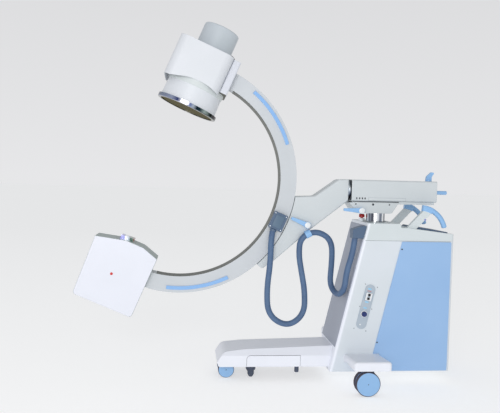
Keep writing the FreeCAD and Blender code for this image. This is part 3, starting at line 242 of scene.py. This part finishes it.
def finish_nodes(material, *names):
    """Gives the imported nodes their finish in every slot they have."""
    for name in names:
        data = nodes[name].data
        if not data.materials:
            data.materials.append(material)
        for i in range(len(data.materials)):
            data.materials[i] = material


track_coat = powder_coat("pale_track_powder_coat", "#cdd1d6", "#c0c5c9", 0.42)
finish_nodes(track_coat, "c_track", "end_plates")


def near_face(x, y, z, lean=0.0):
    """A frame on a face that looks at the camera, in millimetres: right, up and outwards."""
    c, s = math.cos(math.radians(lean)), math.sin(math.radians(lean))
    return Matrix(((c, s, 0, x), (0, 0, -1, y), (-s, c, 0, z), (0, 0, 0, 1)))


def spun(mesh, profile, steps=36):
    """A turned form: its half section of radius and height, spun about its own axis."""
    row = [mesh.verts.new((radius, 0, height)) for radius, height in profile]
    line = [mesh.edges.new(pair) for pair in zip(row, row[1:])]
    bmesh.ops.spin(mesh, geom=row + line, cent=(0, 0, 0), axis=(0, 0, 1), angle=math.tau, steps=steps)


def slab(mesh, corners, low, high, bevel):
    """A plate with a rounded front edge, from its outline and its two heights."""
    base = mesh.faces.new([mesh.verts.new((x, y, low)) for x, y in corners])
    made = bmesh.ops.extrude_face_region(mesh, geom=[base])["geom"]
    top = [item for item in made if isinstance(item, bmesh.types.BMVert)]
    bmesh.ops.translate(mesh, vec=(0, 0, high - low), verts=top)
    rim = [edge for edge in mesh.edges if edge.verts[0] in top and edge.verts[1] in top]
    bmesh.ops.bevel(mesh, geom=rim, offset=bevel, segments=3, profile=0.5, affect="EDGES")


def rounded_outline(left, low, right, high, radius, steps=5):
    """The corners of a rectangle with round corners."""
    spots = []
    for x, y, start in ((right - radius, high - radius, 0), (left + radius, high - radius, 90),
                        (left + radius, low + radius, 180), (right - radius, low + radius, 270)):
        for i in range(steps + 1):
            turn = math.radians(start + 90 * i / steps)
            spots.append((x + radius * math.cos(turn), y + radius * math.sin(turn)))
    return spots


def set_piece(name, body, material, made):
    """One piece from its forms, each a function that draws it and the places where it is set."""
    mesh = bmesh.new()
    for draw, places in made:
        for place in places:
            form = bmesh.new()
            draw(form)
            bmesh.ops.remove_doubles(form, verts=form.verts, dist=0.001)
            bmesh.ops.transform(form, matrix=place, verts=form.verts)
            bmesh.ops.recalc_face_normals(form, faces=form.faces)
            part = bpy.data.meshes.new(name + "_form")
            form.to_mesh(part)
            form.free()
            mesh.from_mesh(part)
            bpy.data.meshes.remove(part)
    bmesh.ops.scale(mesh, vec=(0.001, 0.001, 0.001), verts=mesh.verts)
    data = bpy.data.meshes.new(name)
    mesh.to_mesh(data)
    mesh.free()
    data.shade_smooth()
    data.set_sharp_from_angle(angle=math.radians(35))
    data.materials.append(material)
    piece = bpy.data.objects.new(name, data)
    bpy.context.scene.collection.objects.link(piece)
    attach(piece, body)
    return piece


# Painted shade on the C: a dark olive strip, 1.5 mm thick, laid along the inside of the curve, stands in for
# the shade on the C's inner face.
# It stops 2 degrees short of each end plate.
def moulded_abs(name, pale, deep, roughness, grain_mm=1.4, edge=0.0015, sheen=0.4):
    """Injection-moulded ABS: an even tone with a fine spark-eroded grain that softens its highlight."""
    made, tree, output, place = new_material(name)
    drift = add_node(tree, "ShaderNodeTexNoise", {"Scale": 7, "Detail": 2}, {"Vector": place})
    tone = add_node(tree, "ShaderNodeMix", {"data_type": "RGBA"}, {"Factor": drift.outputs[0]})
    tone.inputs["A"].default_value = linear(deep)
    tone.inputs["B"].default_value = linear(pale)
    grain = add_node(tree, "ShaderNodeTexVoronoi", {"Scale": 1000 / grain_mm}, {"Vector": place})
    soft = add_node(tree, "ShaderNodeBevel", {"samples": 6, "Radius": edge})
    bump = add_node(tree, "ShaderNodeBump", {"Strength": 0.1, "Distance": 0.0001},
                    {"Height": grain.outputs[0], "Normal": soft.outputs[0]})
    skin = add_node(tree, "ShaderNodeBsdfPrincipled",
                    {"Roughness": roughness, "IOR": 1.54, "Specular IOR Level": sheen},
                    {"Base Color": tone.outputs["Result"], "Normal": bump.outputs[0]})
    tree.links.new(skin.outputs[0], output.inputs[0])
    return made


c_centre_x, c_centre_z = -476.1, 1094.5
shade_strip_start, shade_strip_sweep = math.radians(-103), math.radians(-163)


def inner_shade_section(mesh):
    """The strip's section, swept about the middle of the C."""
    ends = []
    for radius, side in ((539.4, -45), (540.9, -46), (540.9, 46), (539.4, 45)):
        along, rise = radius * math.cos(shade_strip_start), radius * math.sin(shade_strip_start)
        ends.append(mesh.verts.new((c_centre_x + along, side, c_centre_z + rise)))
    cap = mesh.faces.new(ends)
    bmesh.ops.spin(mesh, geom=[cap], cent=(c_centre_x, 0, c_centre_z), axis=(0, 1, 0), angle=shade_strip_sweep,
                   steps=110)


inner_shade_olive = moulded_abs("olive_painted_inner_shade", "#6e706b", "#5f625c", 0.5)
set_piece("c_inner_shade_strip", "c_arm", inner_shade_olive, [(inner_shade_section, [Matrix.Identity(4)])])

# Intensifier: a cast shroud in white coat round the image tube's drum, with a grey moulded rear cap,
# a bright spun ring round the input face and a dark curved input window.
shroud_coat = powder_coat("white_shroud_powder_coat", "#dcdee5", "#d2d6da", 0.4)
drum_coat = powder_coat("white_drum_powder_coat", "#e0e3e9", "#d6dadf", 0.4)
mount_coat = powder_coat("grey_mount_powder_coat", "#d9dbe4", "#ced2da", 0.42)
finish_nodes(shroud_coat, "intensifier_sleeve")
finish_nodes(drum_coat, "intensifier_drum")
finish_nodes(mount_coat, "intensifier_mount")
rear_cap_abs = moulded_abs("grey_rear_cap_abs", "#c3c9d1", "#b6bfc4", 0.45)
finish_nodes(rear_cap_abs, "intensifier_rear_cap")


def bright_metal(name, colour, roughness, streak=(1, 1, 1)):
    """Polished or turned metal: tool marks too fine to see one by one, drawn 3 mm coarse as soft streaks."""
    made, tree, output, place = new_material(name)
    stretch = add_node(tree, "ShaderNodeMapping", {"Scale": streak}, {"Vector": place})
    marks = add_node(tree, "ShaderNodeTexNoise", {"Scale": 120, "Detail": 3}, {"Vector": stretch.outputs[0]})
    gloss = add_node(tree, "ShaderNodeMapRange", {"To Min": roughness * 0.7, "To Max": roughness * 1.4},
                     {"Value": marks.outputs[0]})
    soft = add_node(tree, "ShaderNodeBevel", {"samples": 6, "Radius": 0.001})
    metal = add_node(tree, "ShaderNodeBsdfPrincipled", {"Base Color": linear(colour), "Metallic": 1},
                     {"Roughness": gloss.outputs[0], "Normal": soft.outputs[0]})
    tree.links.new(metal.outputs[0], output.inputs[0])
    return made


def banded_chrome(name, across, bands, roughness=0.1, ends=None, painted_shade_side=None):
    """Polished plate with painted reflections: the dark flags and white boxes of a studio are painted into
    its colour as bands along its curve, or from end to end of a flat block. A face that looks along the given
    shaded direction is painted near black, as painted shade."""
    made, tree, output, place = new_material(name)
    # Painted reflection: the colour follows the surface's facing, or its place along a flat block.
    facing = place if ends else add_node(tree, "ShaderNodeTexCoord").outputs["Normal"]
    side = add_node(tree, "ShaderNodeVectorMath", {"operation": "DOT_PRODUCT"}, {0: facing})
    side.inputs[1].default_value = across
    first, last = ends or (-1, 1)
    turn = add_node(tree, "ShaderNodeMapRange", {"From Min": first, "From Max": last},
                    {"Value": side.outputs["Value"]})
    ramp = add_node(tree, "ShaderNodeValToRGB", links={"Fac": turn.outputs[0]})
    ramp.color_ramp.elements.remove(ramp.color_ramp.elements[1])
    ramp.color_ramp.elements[0].position = bands[0][0]
    ramp.color_ramp.elements[0].color = linear(bands[0][1])
    for position, colour in bands[1:]:
        ramp.color_ramp.elements.new(position).color = linear(colour)
    colour = ramp.outputs[0]
    # Painted shade: the face that looks along the given direction turns dark olive black.
    if painted_shade_side:
        under = add_node(tree, "ShaderNodeVectorMath", {"operation": "DOT_PRODUCT"}, {0: facing})
        under.inputs[1].default_value = painted_shade_side
        face = add_node(tree, "ShaderNodeMapRange", {"From Min": 0.9, "From Max": 0.97},
                        {"Value": under.outputs["Value"]})
        black = add_node(tree, "ShaderNodeMix", {"data_type": "RGBA"},
                         {"Factor": face.outputs[0], "A": colour})
        black.inputs["B"].default_value = linear("#3a3826")
        colour = black.outputs["Result"]
    marks = add_node(tree, "ShaderNodeTexNoise", {"Scale": 90, "Detail": 3}, {"Vector": place})
    gloss = add_node(tree, "ShaderNodeMapRange", {"To Min": roughness * 0.6, "To Max": roughness * 1.5},
                     {"Value": marks.outputs[0]})
    plate = add_node(tree, "ShaderNodeBsdfPrincipled", {"Metallic": 1},
                     {"Base Color": colour, "Roughness": gloss.outputs[0]})
    tree.links.new(plate.outputs[0], output.inputs[0])
    return made


# Painted reflection: the input ring's bands stand in for the studio reflected in the spun ring, and its flat
# face that looks down the beam gets painted shade.
ring_bands = [(0.0, "#2c3240"), (0.07, "#8791a8"), (0.24, "#a8b1cc"), (0.34, "#34427a"), (0.4, "#e9ecfa"),
              (0.5, "#ffffff"), (0.55, "#7080b4"), (0.6, "#b3bfce"), (0.66, "#132430"), (0.72, "#24383f"),
              (0.79, "#97a6a3"), (0.88, "#515c58"), (0.95, "#2b2127"), (1.0, "#150e12")]
finish_nodes(banded_chrome("polished_input_ring", (0.921, 0, -0.389), ring_bands,
                           painted_shade_side=(-0.389, 0, -0.921)), "intensifier_ring")


def input_glass(name):
    """Dark enamelled aluminium input window: olive black, semi-gloss, with a faint cloud."""
    made, tree, output, place = new_material(name)
    cloud = add_node(tree, "ShaderNodeTexNoise", {"Scale": 9, "Detail": 4}, {"Vector": place})
    tone = add_node(tree, "ShaderNodeMix", {"data_type": "RGBA"}, {"Factor": cloud.outputs[0]})
    tone.inputs["A"].default_value = linear("#4a4529")
    tone.inputs["B"].default_value = linear("#635b35")
    face = add_node(tree, "ShaderNodeBsdfPrincipled", {"Roughness": 0.6, "IOR": 1.5,
                                                       "Specular IOR Level": 0.05},
                    {"Base Color": tone.outputs["Result"]})
    tree.links.new(face.outputs[0], output.inputs[0])
    return made


finish_nodes(input_glass("olive_input_window"), "input_window")
finish_nodes(moulded_abs("dark_cable_jacket", "#43393c", "#352c2f", 0.5), "cap_cables")


beam_lean = 22.9
lean_cos, lean_sin = math.cos(math.radians(beam_lean)), math.sin(math.radians(beam_lean))


def beam_axis(x, z):
    """A frame whose third axis lies along the beam, from its place along and across it."""
    return Matrix(((lean_cos, 0, lean_sin, c_centre_x + x * lean_cos + z * lean_sin), (0, 1, 0, 0),
                   (-lean_sin, 0, lean_cos, c_centre_z - x * lean_sin + z * lean_cos), (0, 0, 0, 1)))


# Shroud's lip: a pale flared collar that fills the space between drum and shroud under the arch,
# and a dark olive strip on the slab's end that is painted shade, standing in for the shade on that edge. Both
# are pressed in and have no screws of their own.
lip_coat = powder_coat("pale_lip_powder_coat", "#d2d8d9", "#c8cfd0", 0.45)
set_piece("shroud_lip", "c_arm", lip_coat, [
    (lambda mesh: spun(mesh, [
        (153.2, 458), (154.4, 461), (156.4, 467), (157.6, 476), (157.7, 506), (152.5, 506)], 72),
     [beam_axis(-126, 0)])])
slab_shade_olive = moulded_abs("olive_painted_slab_shade", "#63635a", "#56564e", 0.6)
set_piece("slab_shade_strip", "c_arm", slab_shade_olive, [
    (lambda mesh: slab(mesh, rounded_outline(2, -105, 41, 105, 5), 0.3, -2.6, 0.8), [beam_axis(0, 491)])])

# Tube head: lead-lined steel covers in the machine's white coat on a cast rim, with the tube insert inside.
# A red dot on the cover shows where the focus lies; the bright block on the crown holds the collimator.
head_coat = powder_coat("white_tube_head_powder_coat", "#e6e8f2", "#dee1ea", 0.42)
rim_coat = powder_coat("grey_tube_head_rim_powder_coat", "#a7b4b1", "#98a6a4", 0.4)
finish_nodes(head_coat, "tube_head_covers")
finish_nodes(rim_coat, "tube_head_rim")
machined_steel = bright_metal("machined_steel", "#9a9da1", 0.32, (1, 1, 6))
finish_nodes(machined_steel, "tube_insert")
# Painted reflection: the collimator block's colour runs along its length from violet through a painted white
# glint to green and red-brown.
block_bands = [(0.0, "#5a55b4"), (0.12, "#b3b4e6"), (0.3, "#8e93cc"), (0.4, "#ffffff"), (0.5, "#d8deee"),
               (0.62, "#a3afb8"), (0.74, "#3f5a50"), (0.88, "#62706a"), (1.0, "#8c4a40")]
finish_nodes(banded_chrome("polished_collimator_block", (1, 0, 0), block_bands, 0.15, (-0.797, -0.719)),
             "collimator")


def beam_face(x, z, y):
    """A frame on a face that turns with the beam, from its place along and across it."""
    return near_face(c_centre_x + x * lean_cos + z * lean_sin, y,
                     c_centre_z - x * lean_sin + z * lean_cos, beam_lean)


def button_dot(radius, height):
    """A low dome with a square foot, as a plug or a screw's head has."""
    profile = [(0, height), (radius * 0.5, height * 0.97), (radius * 0.85, height * 0.75),
               (radius, height * 0.3), (radius, -0.3)]
    return lambda mesh: spun(mesh, profile, 28)


focus_red = moulded_abs("red_focus_dot_enamel", "#d8362c", "#c22a22", 0.3)
set_piece("focus_dot", "c_arm", focus_red, [(button_dot(7.5, 0.9), [beam_face(-125, -622, -85)])])

# Bumper strips, levers and clip: light-blue moulded parts that mark what is held or knocked.
blue_moulding = moulded_abs("light_blue_abs", "#97c1ea", "#88b5e4", 0.3)
strip_moulding = moulded_abs("glossy_blue_strip_abs", "#93bdec", "#82b0e6", 0.2)
finish_nodes(strip_moulding, "c_bumper_strips")
finish_nodes(blue_moulding, "orbit_brake_lever", "pan_brake_lever", "rear_lock_rod", "slide_lock_lever",
             "hose_clip", "handle_grips")
hub_white = moulded_abs("white_hub_cap_abs", "#e9edf0", "#dfe4e8", 0.32)
hub_cap = button_dot(16.6, 4)
set_piece("orbit_hub_cap", "orbit_lever", hub_white, [
    (hub_cap, [near_face(218.7, -74.2, 845.7)])])
set_piece("pan_hub_cap", "pan_lever", hub_white, [
    (hub_cap, [near_face(515.4, -92.2, 932)])])


def grip_saddle(mesh):
    """The wide foot of a grip that wraps the top of its post, in steps round the grip's arc."""
    outside = [math.radians(61 + 3.9 * i) for i in range(7)]
    spots = [(158.5 * math.cos(turn), 158.5 * math.sin(turn)) for turn in outside]
    spots += [(125 * math.cos(turn), 125 * math.sin(turn)) for turn in reversed(outside)]
    slab(mesh, spots, 0, 27.4, 5)


mirrored = Matrix.Scale(-1, 4, (0, 1, 0))
saddle_place = near_face(824.4, -131.3, 815)
set_piece("grip_saddles", "base", blue_moulding, [
    (grip_saddle, [saddle_place, mirrored @ saddle_place])])

# Cable box and hose socket: slate-blue mouldings at the two ends of the hose. The box has a raised lid
# held by four bright screws, one at each corner.
slate_moulding = moulded_abs("slate_blue_abs", "#566b86", "#495e78", 0.42)
finish_nodes(slate_moulding, "cable_box", "hose_socket", "rear_console")
lid_moulding = moulded_abs("slate_lid_abs", "#5f768c", "#52697f", 0.38)
set_piece("cable_box_lid", "c_arm", lid_moulding, [
    (lambda mesh: slab(mesh, rounded_outline(-24, -34, 24, 34, 7), -0.5, 2.6, 1.4),
     [beam_face(579, -7, -78)])])
screw_steel = bright_metal("bright_screw_steel", "#c9cdd2", 0.2)
set_piece("cable_box_screws", "c_arm", screw_steel, [
    (button_dot(3.6, 1.8), [beam_face(x, z, -78) for x in (548, 610) for z in (-46, 32)])])

# Forearm and arm: cast aluminium in a cool pale coat, a shade greyer than the shroud.
arm_coat = powder_coat("cool_grey_arm_powder_coat", "#d2d7da", "#c6cdd0", 0.42)
finish_nodes(arm_coat, "forearm_casting", "arm_housing", "lift_head", "slide_rails")
finish_nodes(machined_steel, "turning_bearing", "roller_trucks", "lift_guide_tube", "lift_drive", "leg_frame",
             "power_unit")
finish_nodes(moulded_abs("black_roller_nylon", "#26272a", "#1e1f22", 0.5), "guide_rollers")
# Painted reflection: the ram's and the collar's bands stand in for the studio reflected in polished chrome;
# the collar darkens towards its underside as painted shade.
shaft_bands = [(0.0, "#c8ced8"), (0.22, "#2c3346"), (0.36, "#ffffff"), (0.5, "#eef2f7"), (0.62, "#59627a"),
               (0.76, "#ffffff"), (0.9, "#2a3145"), (1.0, "#b9c2d0")]
finish_nodes(banded_chrome("polished_ram_chrome", (1, 0, 0), shaft_bands), "lift_ram")
collar_bands = [(0.0, "#1d1a24"), (0.22, "#3a3744"), (0.38, "#7d8798"), (0.5, "#c3ccd6"), (0.62, "#e8eef2"),
                (0.8, "#a5aeb4"), (1.0, "#7c858b")]
finish_nodes(banded_chrome("polished_collar_chrome", (0, 0, 1), collar_bands), "turning_shaft")
# A dark ABS for plugs and slots, also used for the painted shadow strip under the arm housing.
dark_plug_and_shadow = moulded_abs("dark_plug_and_shadow_abs", "#3a4049", "#2f343c", 0.4)
housing_face, head_face = -75, -68
set_piece("housing_slots", "arm", dark_plug_and_shadow, [
    (lambda mesh: slab(mesh, rounded_outline(-3.5, -5.2, 3.5, 5.2, 1.8), -0.3, 0.8, 0.4),
     [near_face(x, housing_face, 1000) for x in (488, 504, 520, 535)])])
groove_grey = powder_coat("grey_groove_powder_coat", "#a3adb4", "#99a3ab", 0.5)


def groove_frame(mesh):
    """Four thin lines round a bare field."""
    for left, low, right, high in ((554, 988, 767, 989), (554, 1004, 767, 1005), (554, 988, 555, 1005),
                                   (766, 988, 767, 1005)):
        slab(mesh, [(left, low), (right, low), (right, high), (left, high)], -0.3, 0.35, 0.15)


set_piece("housing_groove", "arm", groove_grey, [
    (groove_frame, [near_face(0, housing_face, 0)])])
# Painted shadow: a dark strip under the housing stands in for the shadow in the gap between the arm housing
# and the head.
set_piece("rail_gap_shadow_strip", "arm", dark_plug_and_shadow, [
    (lambda mesh: slab(mesh, [(0, 0), (262, 0), (262, 4.4), (0, 4.4)], -0.3, 0.9, 0.4),
     [near_face(470, -64, 979.8)])])
set_piece("head_plugs", "head", dark_plug_and_shadow, [
    (button_dot(4, 1.2), [near_face(485.9, head_face, 968), near_face(676.9, head_face, 967)]),
    (button_dot(6.3, 1.6), [near_face(583.5, head_face, 967)])])

# Column: folded steel shells in white coat, blue side panels, and a mid-grey front panel.
# Painted highlight: the column's and the top cover's coats carry a paler band along the rounded front corner.
column_coat = powder_coat("white_column_powder_coat", "#dbe1e9", "#d1d8dc", 0.42, painted_highlight="#eff2fb")
leg_coat = powder_coat("white_leg_powder_coat", "#eef0f8", "#e4e7ef", 0.4)
cover_coat = powder_coat("white_cover_powder_coat", "#d6dde0", "#cdd5d7", 0.42, painted_highlight="#ecf0f7")
finish_nodes(column_coat, "column_shell")
finish_nodes(cover_coat, "top_cover", "handle_posts")
finish_nodes(leg_coat, "front_leg", "leg_side_covers", "outriggers")
finish_nodes(powder_coat("light_blue_panel_powder_coat", "#9bbde4", "#8fb4df", 0.45), "column_panels")
finish_nodes(powder_coat("mid_grey_front_powder_coat", "#a6acba", "#989eae", 0.45), "front_panel")
finish_nodes(moulded_abs("grey_key_plate_abs", "#b4bfca", "#a7b4c0", 0.4), "key_plate")
black_abs = moulded_abs("black_key_abs", "#1d1e22", "#141519", 0.35)
finish_nodes(black_abs, "lower_key", "raise_key")
finish_nodes(moulded_abs("navy_key_switch_abs", "#2c3f7c", "#24356c", 0.35), "key_switch")
finish_nodes(moulded_abs("red_stop_button_abs", "#c01818", "#a81010", 0.28), "stop_button")

column_flank, panel_face, leg_flank = -170, -174, -122
set_piece("panel_screws", "base", dark_plug_and_shadow, [
    (button_dot(4.4, 1.8), [near_face(720.7, panel_face, 731.5), near_face(599.4, panel_face, 222.7)])])
seam_grey = powder_coat("dark_seam_gasket", "#7b858b", "#6f797f", 0.6)
set_piece("cover_seam", "base", seam_grey, [
    (lambda mesh: slab(mesh, [(0, 0), (478, 0), (478, 1.5), (0.35, 1.5)], -0.3, 0.4, 0.2),
     [near_face(516, column_flank, 775.3), mirrored @ near_face(516, column_flank, 775.3)])])

# Leg covers stand on thin dark gaskets that show as a line round them.
gasket_outline = [(-104.1, 79), (-104.1, 118), (-102.3, 126), (-98, 132), (-91, 137), (-83, 138.5),
                  (190.9, 138.5), (190.9, 79)]
set_piece("leg_cover_gaskets", "base", dark_plug_and_shadow, [
    (lambda mesh: slab(mesh, gasket_outline, -0.3, 0.5, 0.2),
     [near_face(0, leg_flank, 0), mirrored @ near_face(0, leg_flank, 0)])])

# Key plate: a pale module with two black keys, three pale-blue lamp fields, a red line over the module,
# the switch's white collar, and six screws in the column's flank.
lens_blue = moulded_abs("pale_blue_lamp_field", "#a3d2ee", "#90c4e4", 0.25)
field = rounded_outline(-10, -4.5, 10, 4.5, 3.5)
plate_face, module_face, plate_lean = -173, -179, 13
set_piece("plate_lamp_fields", "base", lens_blue, [
    (lambda mesh: slab(mesh, field, -0.3, 0.7, 0.4),
     [near_face(x, plate_face, z, plate_lean) for x, z in ((550, 514), (534.6, 443), (527, 411))])])
set_piece("plate_red_line", "base", focus_red, [
    (lambda mesh: slab(mesh, rounded_outline(-11, -1.2, 11, 1.2, 1), -0.3, 0.5, 0.2),
     [near_face(547.5, plate_face, 502.5, plate_lean)])])
collar_white = moulded_abs("white_collar_abs", "#eceef1", "#e1e4e8", 0.3)


def key_bezel(mesh):
    """A pale frame on the module's face, open at the two keys."""
    for left, low, right, high in ((-17, -21, 17, -17), (-17, 17, 17, 21), (-17, -17, -7.2, 17),
                                   (7.2, -17, 17, 17)):
        slab(mesh, [(left, low), (right, low), (right, high), (left, high)], -0.2, 0.7, 0.2)


set_piece("key_bezel", "base", collar_white, [
    (key_bezel, [near_face(543.6, module_face, 472.1, plate_lean)])])
set_piece("plate_plug", "base", collar_white, [
    (button_dot(4, 1), [near_face(502, plate_face, 320)])])
set_piece("switch_collar", "base", collar_white, [
    (lambda mesh: spun(mesh, [(14.6, -0.3), (14.6, 2.6), (16.4, 3.2), (18.2, 2.2), (18.6, -0.3)], 40),
     [near_face(521.8, plate_face, 377.7)])])
set_piece("plate_screws", "base", bright_metal("dull_screw_steel", "#8f959c", 0.3), [
    (button_dot(2.8, 1.3), [near_face(x, column_flank, z) for x, z in (
        (524.9, 540), (591.9, 523), (497.9, 419), (563.9, 404), (469.4, 299), (535.9, 284))])])
knob_violet = moulded_abs("violet_knob_abs", "#9a9ad0", "#8888c4", 0.3)
set_piece("post_knob", "base", knob_violet, [(button_dot(5.5, 4), [near_face(851, -157, 893)])])

# Casters and feet: grey moulded forks, blue discs in dark tyres, and rubber feet.
finish_nodes(moulded_abs("slate_fork_nylon", "#5c6c80", "#516073", 0.45), "rear_caster_near_yoke",
             "rear_caster_far_yoke", "front_caster_near_yoke", "front_caster_far_yoke")


def tyred_disc(name, axle_x, axle_z, rim):
    """A moulded blue disc in a dark rubber tyre: the tread is duller and takes floor dust."""
    made, tree, output, place = new_material(name)
    split = add_node(tree, "ShaderNodeSeparateXYZ", links={0: place})
    flat = add_node(tree, "ShaderNodeCombineXYZ", links={"X": split.outputs[0], "Z": split.outputs[2]})
    away = add_node(tree, "ShaderNodeVectorMath", {"operation": "DISTANCE"}, {0: flat.outputs[0]})
    away.inputs[1].default_value = (axle_x, 0, axle_z)
    tyre = add_node(tree, "ShaderNodeMapRange", {"From Min": rim - 0.0008, "From Max": rim + 0.0008},
                    {"Value": away.outputs["Value"]})
    dust = add_node(tree, "ShaderNodeTexNoise", {"Scale": 60, "Detail": 4}, {"Vector": place})
    rubber = add_node(tree, "ShaderNodeMix", {"data_type": "RGBA"}, {"Factor": dust.outputs[0]})
    rubber.inputs["A"].default_value = linear("#332e3a")
    rubber.inputs["B"].default_value = linear("#4b4655")
    tone = add_node(tree, "ShaderNodeMix", {"data_type": "RGBA"},
                    {"Factor": tyre.outputs[0], "B": rubber.outputs["Result"]})
    tone.inputs["A"].default_value = linear("#8db6e0")
    gloss = add_node(tree, "ShaderNodeMapRange", {"To Min": 0.32, "To Max": 0.7}, {"Value": tyre.outputs[0]})
    skin = add_node(tree, "ShaderNodeBsdfPrincipled", {"IOR": 1.5},
                    {"Base Color": tone.outputs["Result"], "Roughness": gloss.outputs[0]})
    tree.links.new(skin.outputs[0], output.inputs[0])
    return made


rear_wheel = tyred_disc("rear_wheel_disc_and_tyre", 0.4914, 0.064, 0.0595)
front_wheel = tyred_disc("front_wheel_disc_and_tyre", -0.2096, 0.044, 0.041)
finish_nodes(rear_wheel, "rear_caster_near_wheels", "rear_caster_far_wheels")
finish_nodes(front_wheel, "front_caster_near_wheels", "front_caster_far_wheels")
finish_nodes(moulded_abs("slate_foot_rubber", "#4b5468", "#3c4455", 0.5), "parking_feet", "leg_stops")
for name, axle, height, outside in (
        ("rear_caster_near", 491.4, 64, -395.3), ("rear_caster_far", 491.4, 64, 395.3),
        ("front_caster_near", -209.6, 44, -68.3), ("front_caster_far", -209.6, 44, 68.3)):
    turn = Matrix.Identity(4) if outside < 0 else Matrix.Rotation(math.pi, 4, "X")
    set_piece(name + "_axle_cap", name + "_wheel", dark_plug_and_shadow, [
        (button_dot(2.6, 0.9), [Matrix.Translation((axle, outside, height)) @ turn @ near_face(0, 0, 0)])])

# Floor and light: a pale matt studio floor under an even pale sky, with a grey flag beyond the right-hand
# end of the machine and one big soft box beside the camera.
floor_data = bpy.data.meshes.new("studio_floor")
floor_mesh = bmesh.new()
bmesh.ops.create_grid(floor_mesh, x_segments=1, y_segments=1, size=60)
floor_mesh.to_mesh(floor_data)
floor_mesh.free()
floor = bpy.data.objects.new("studio_floor", floor_data)
bpy.context.scene.collection.objects.link(floor)
floor_paint, tree, output, place = new_material("pale_studio_floor")
far = add_node(tree, "ShaderNodeSeparateXYZ", links={0: place})
glow = add_node(tree, "ShaderNodeMapRange", {"From Min": -0.6, "From Max": 9, "To Min": 0.53, "To Max": 0.49},
                {"Value": far.outputs[1]})
matt = add_node(tree, "ShaderNodeBsdfPrincipled", {"Base Color": linear("#cacac9"), "Roughness": 0.95,
                                                   "Emission Color": (0.985, 0.985, 1.0, 1),
                                                   "Specular IOR Level": 0.0},
                {"Emission Strength": glow.outputs[0]})
tree.links.new(matt.outputs[0], output.inputs[0])
floor_data.materials.append(floor_paint)

sky = bpy.data.worlds.new("studio_sky")
bpy.context.scene.world = sky
sky.use_nodes = True
tree = sky.node_tree
view = add_node(tree, "ShaderNodeTexCoord")
height = add_node(tree, "ShaderNodeSeparateXYZ", links={0: view.outputs["Generated"]})
tones = add_node(tree, "ShaderNodeValToRGB", links={"Fac": height.outputs[2]})
tones.color_ramp.elements[0].color = (0.795, 0.797, 0.81, 1)
tones.color_ramp.elements[1].color = (0.4, 0.41, 0.42, 1)
tones.color_ramp.elements.new(0.32).color = (0.71, 0.712, 0.725, 1)
tones.color_ramp.elements.new(0.45).color = (0.62, 0.63, 0.64, 1)
flag = add_node(tree, "ShaderNodeValToRGB", links={"Fac": height.outputs[0]})
flag.color_ramp.elements[0].position = 0.5
flag.color_ramp.elements[0].color = (1, 1, 1, 1)
flag.color_ramp.elements[1].position = 0.95
flag.color_ramp.elements[1].color = (0.5, 0.55, 0.53, 1)
shaded = add_node(tree, "ShaderNodeMix", {"data_type": "RGBA", "blend_type": "MULTIPLY", "Factor": 1.0},
                  {"A": tones.outputs[0], "B": flag.outputs[0]})
tree.links.new(shaded.outputs["Result"], tree.nodes["Background"].inputs[0])
bpy.context.scene.view_settings.view_transform = "Standard"


def soft_light(name, place, aim, size, power):
    """A large square light box that points at a spot on the machine."""
    data = bpy.data.lights.new(name, "AREA")
    data.size = size
    data.energy = power
    lamp = bpy.data.objects.new(name, data)
    lamp.location = place
    lamp.rotation_euler = (Vector(aim) - Vector(place)).to_track_quat("-Z", "Y").to_euler()
    bpy.context.scene.collection.objects.link(lamp)


soft_light("key_light_box", (-1.4, -5.6, 1.9), (0, 0, 0.9), 2.6, 115)
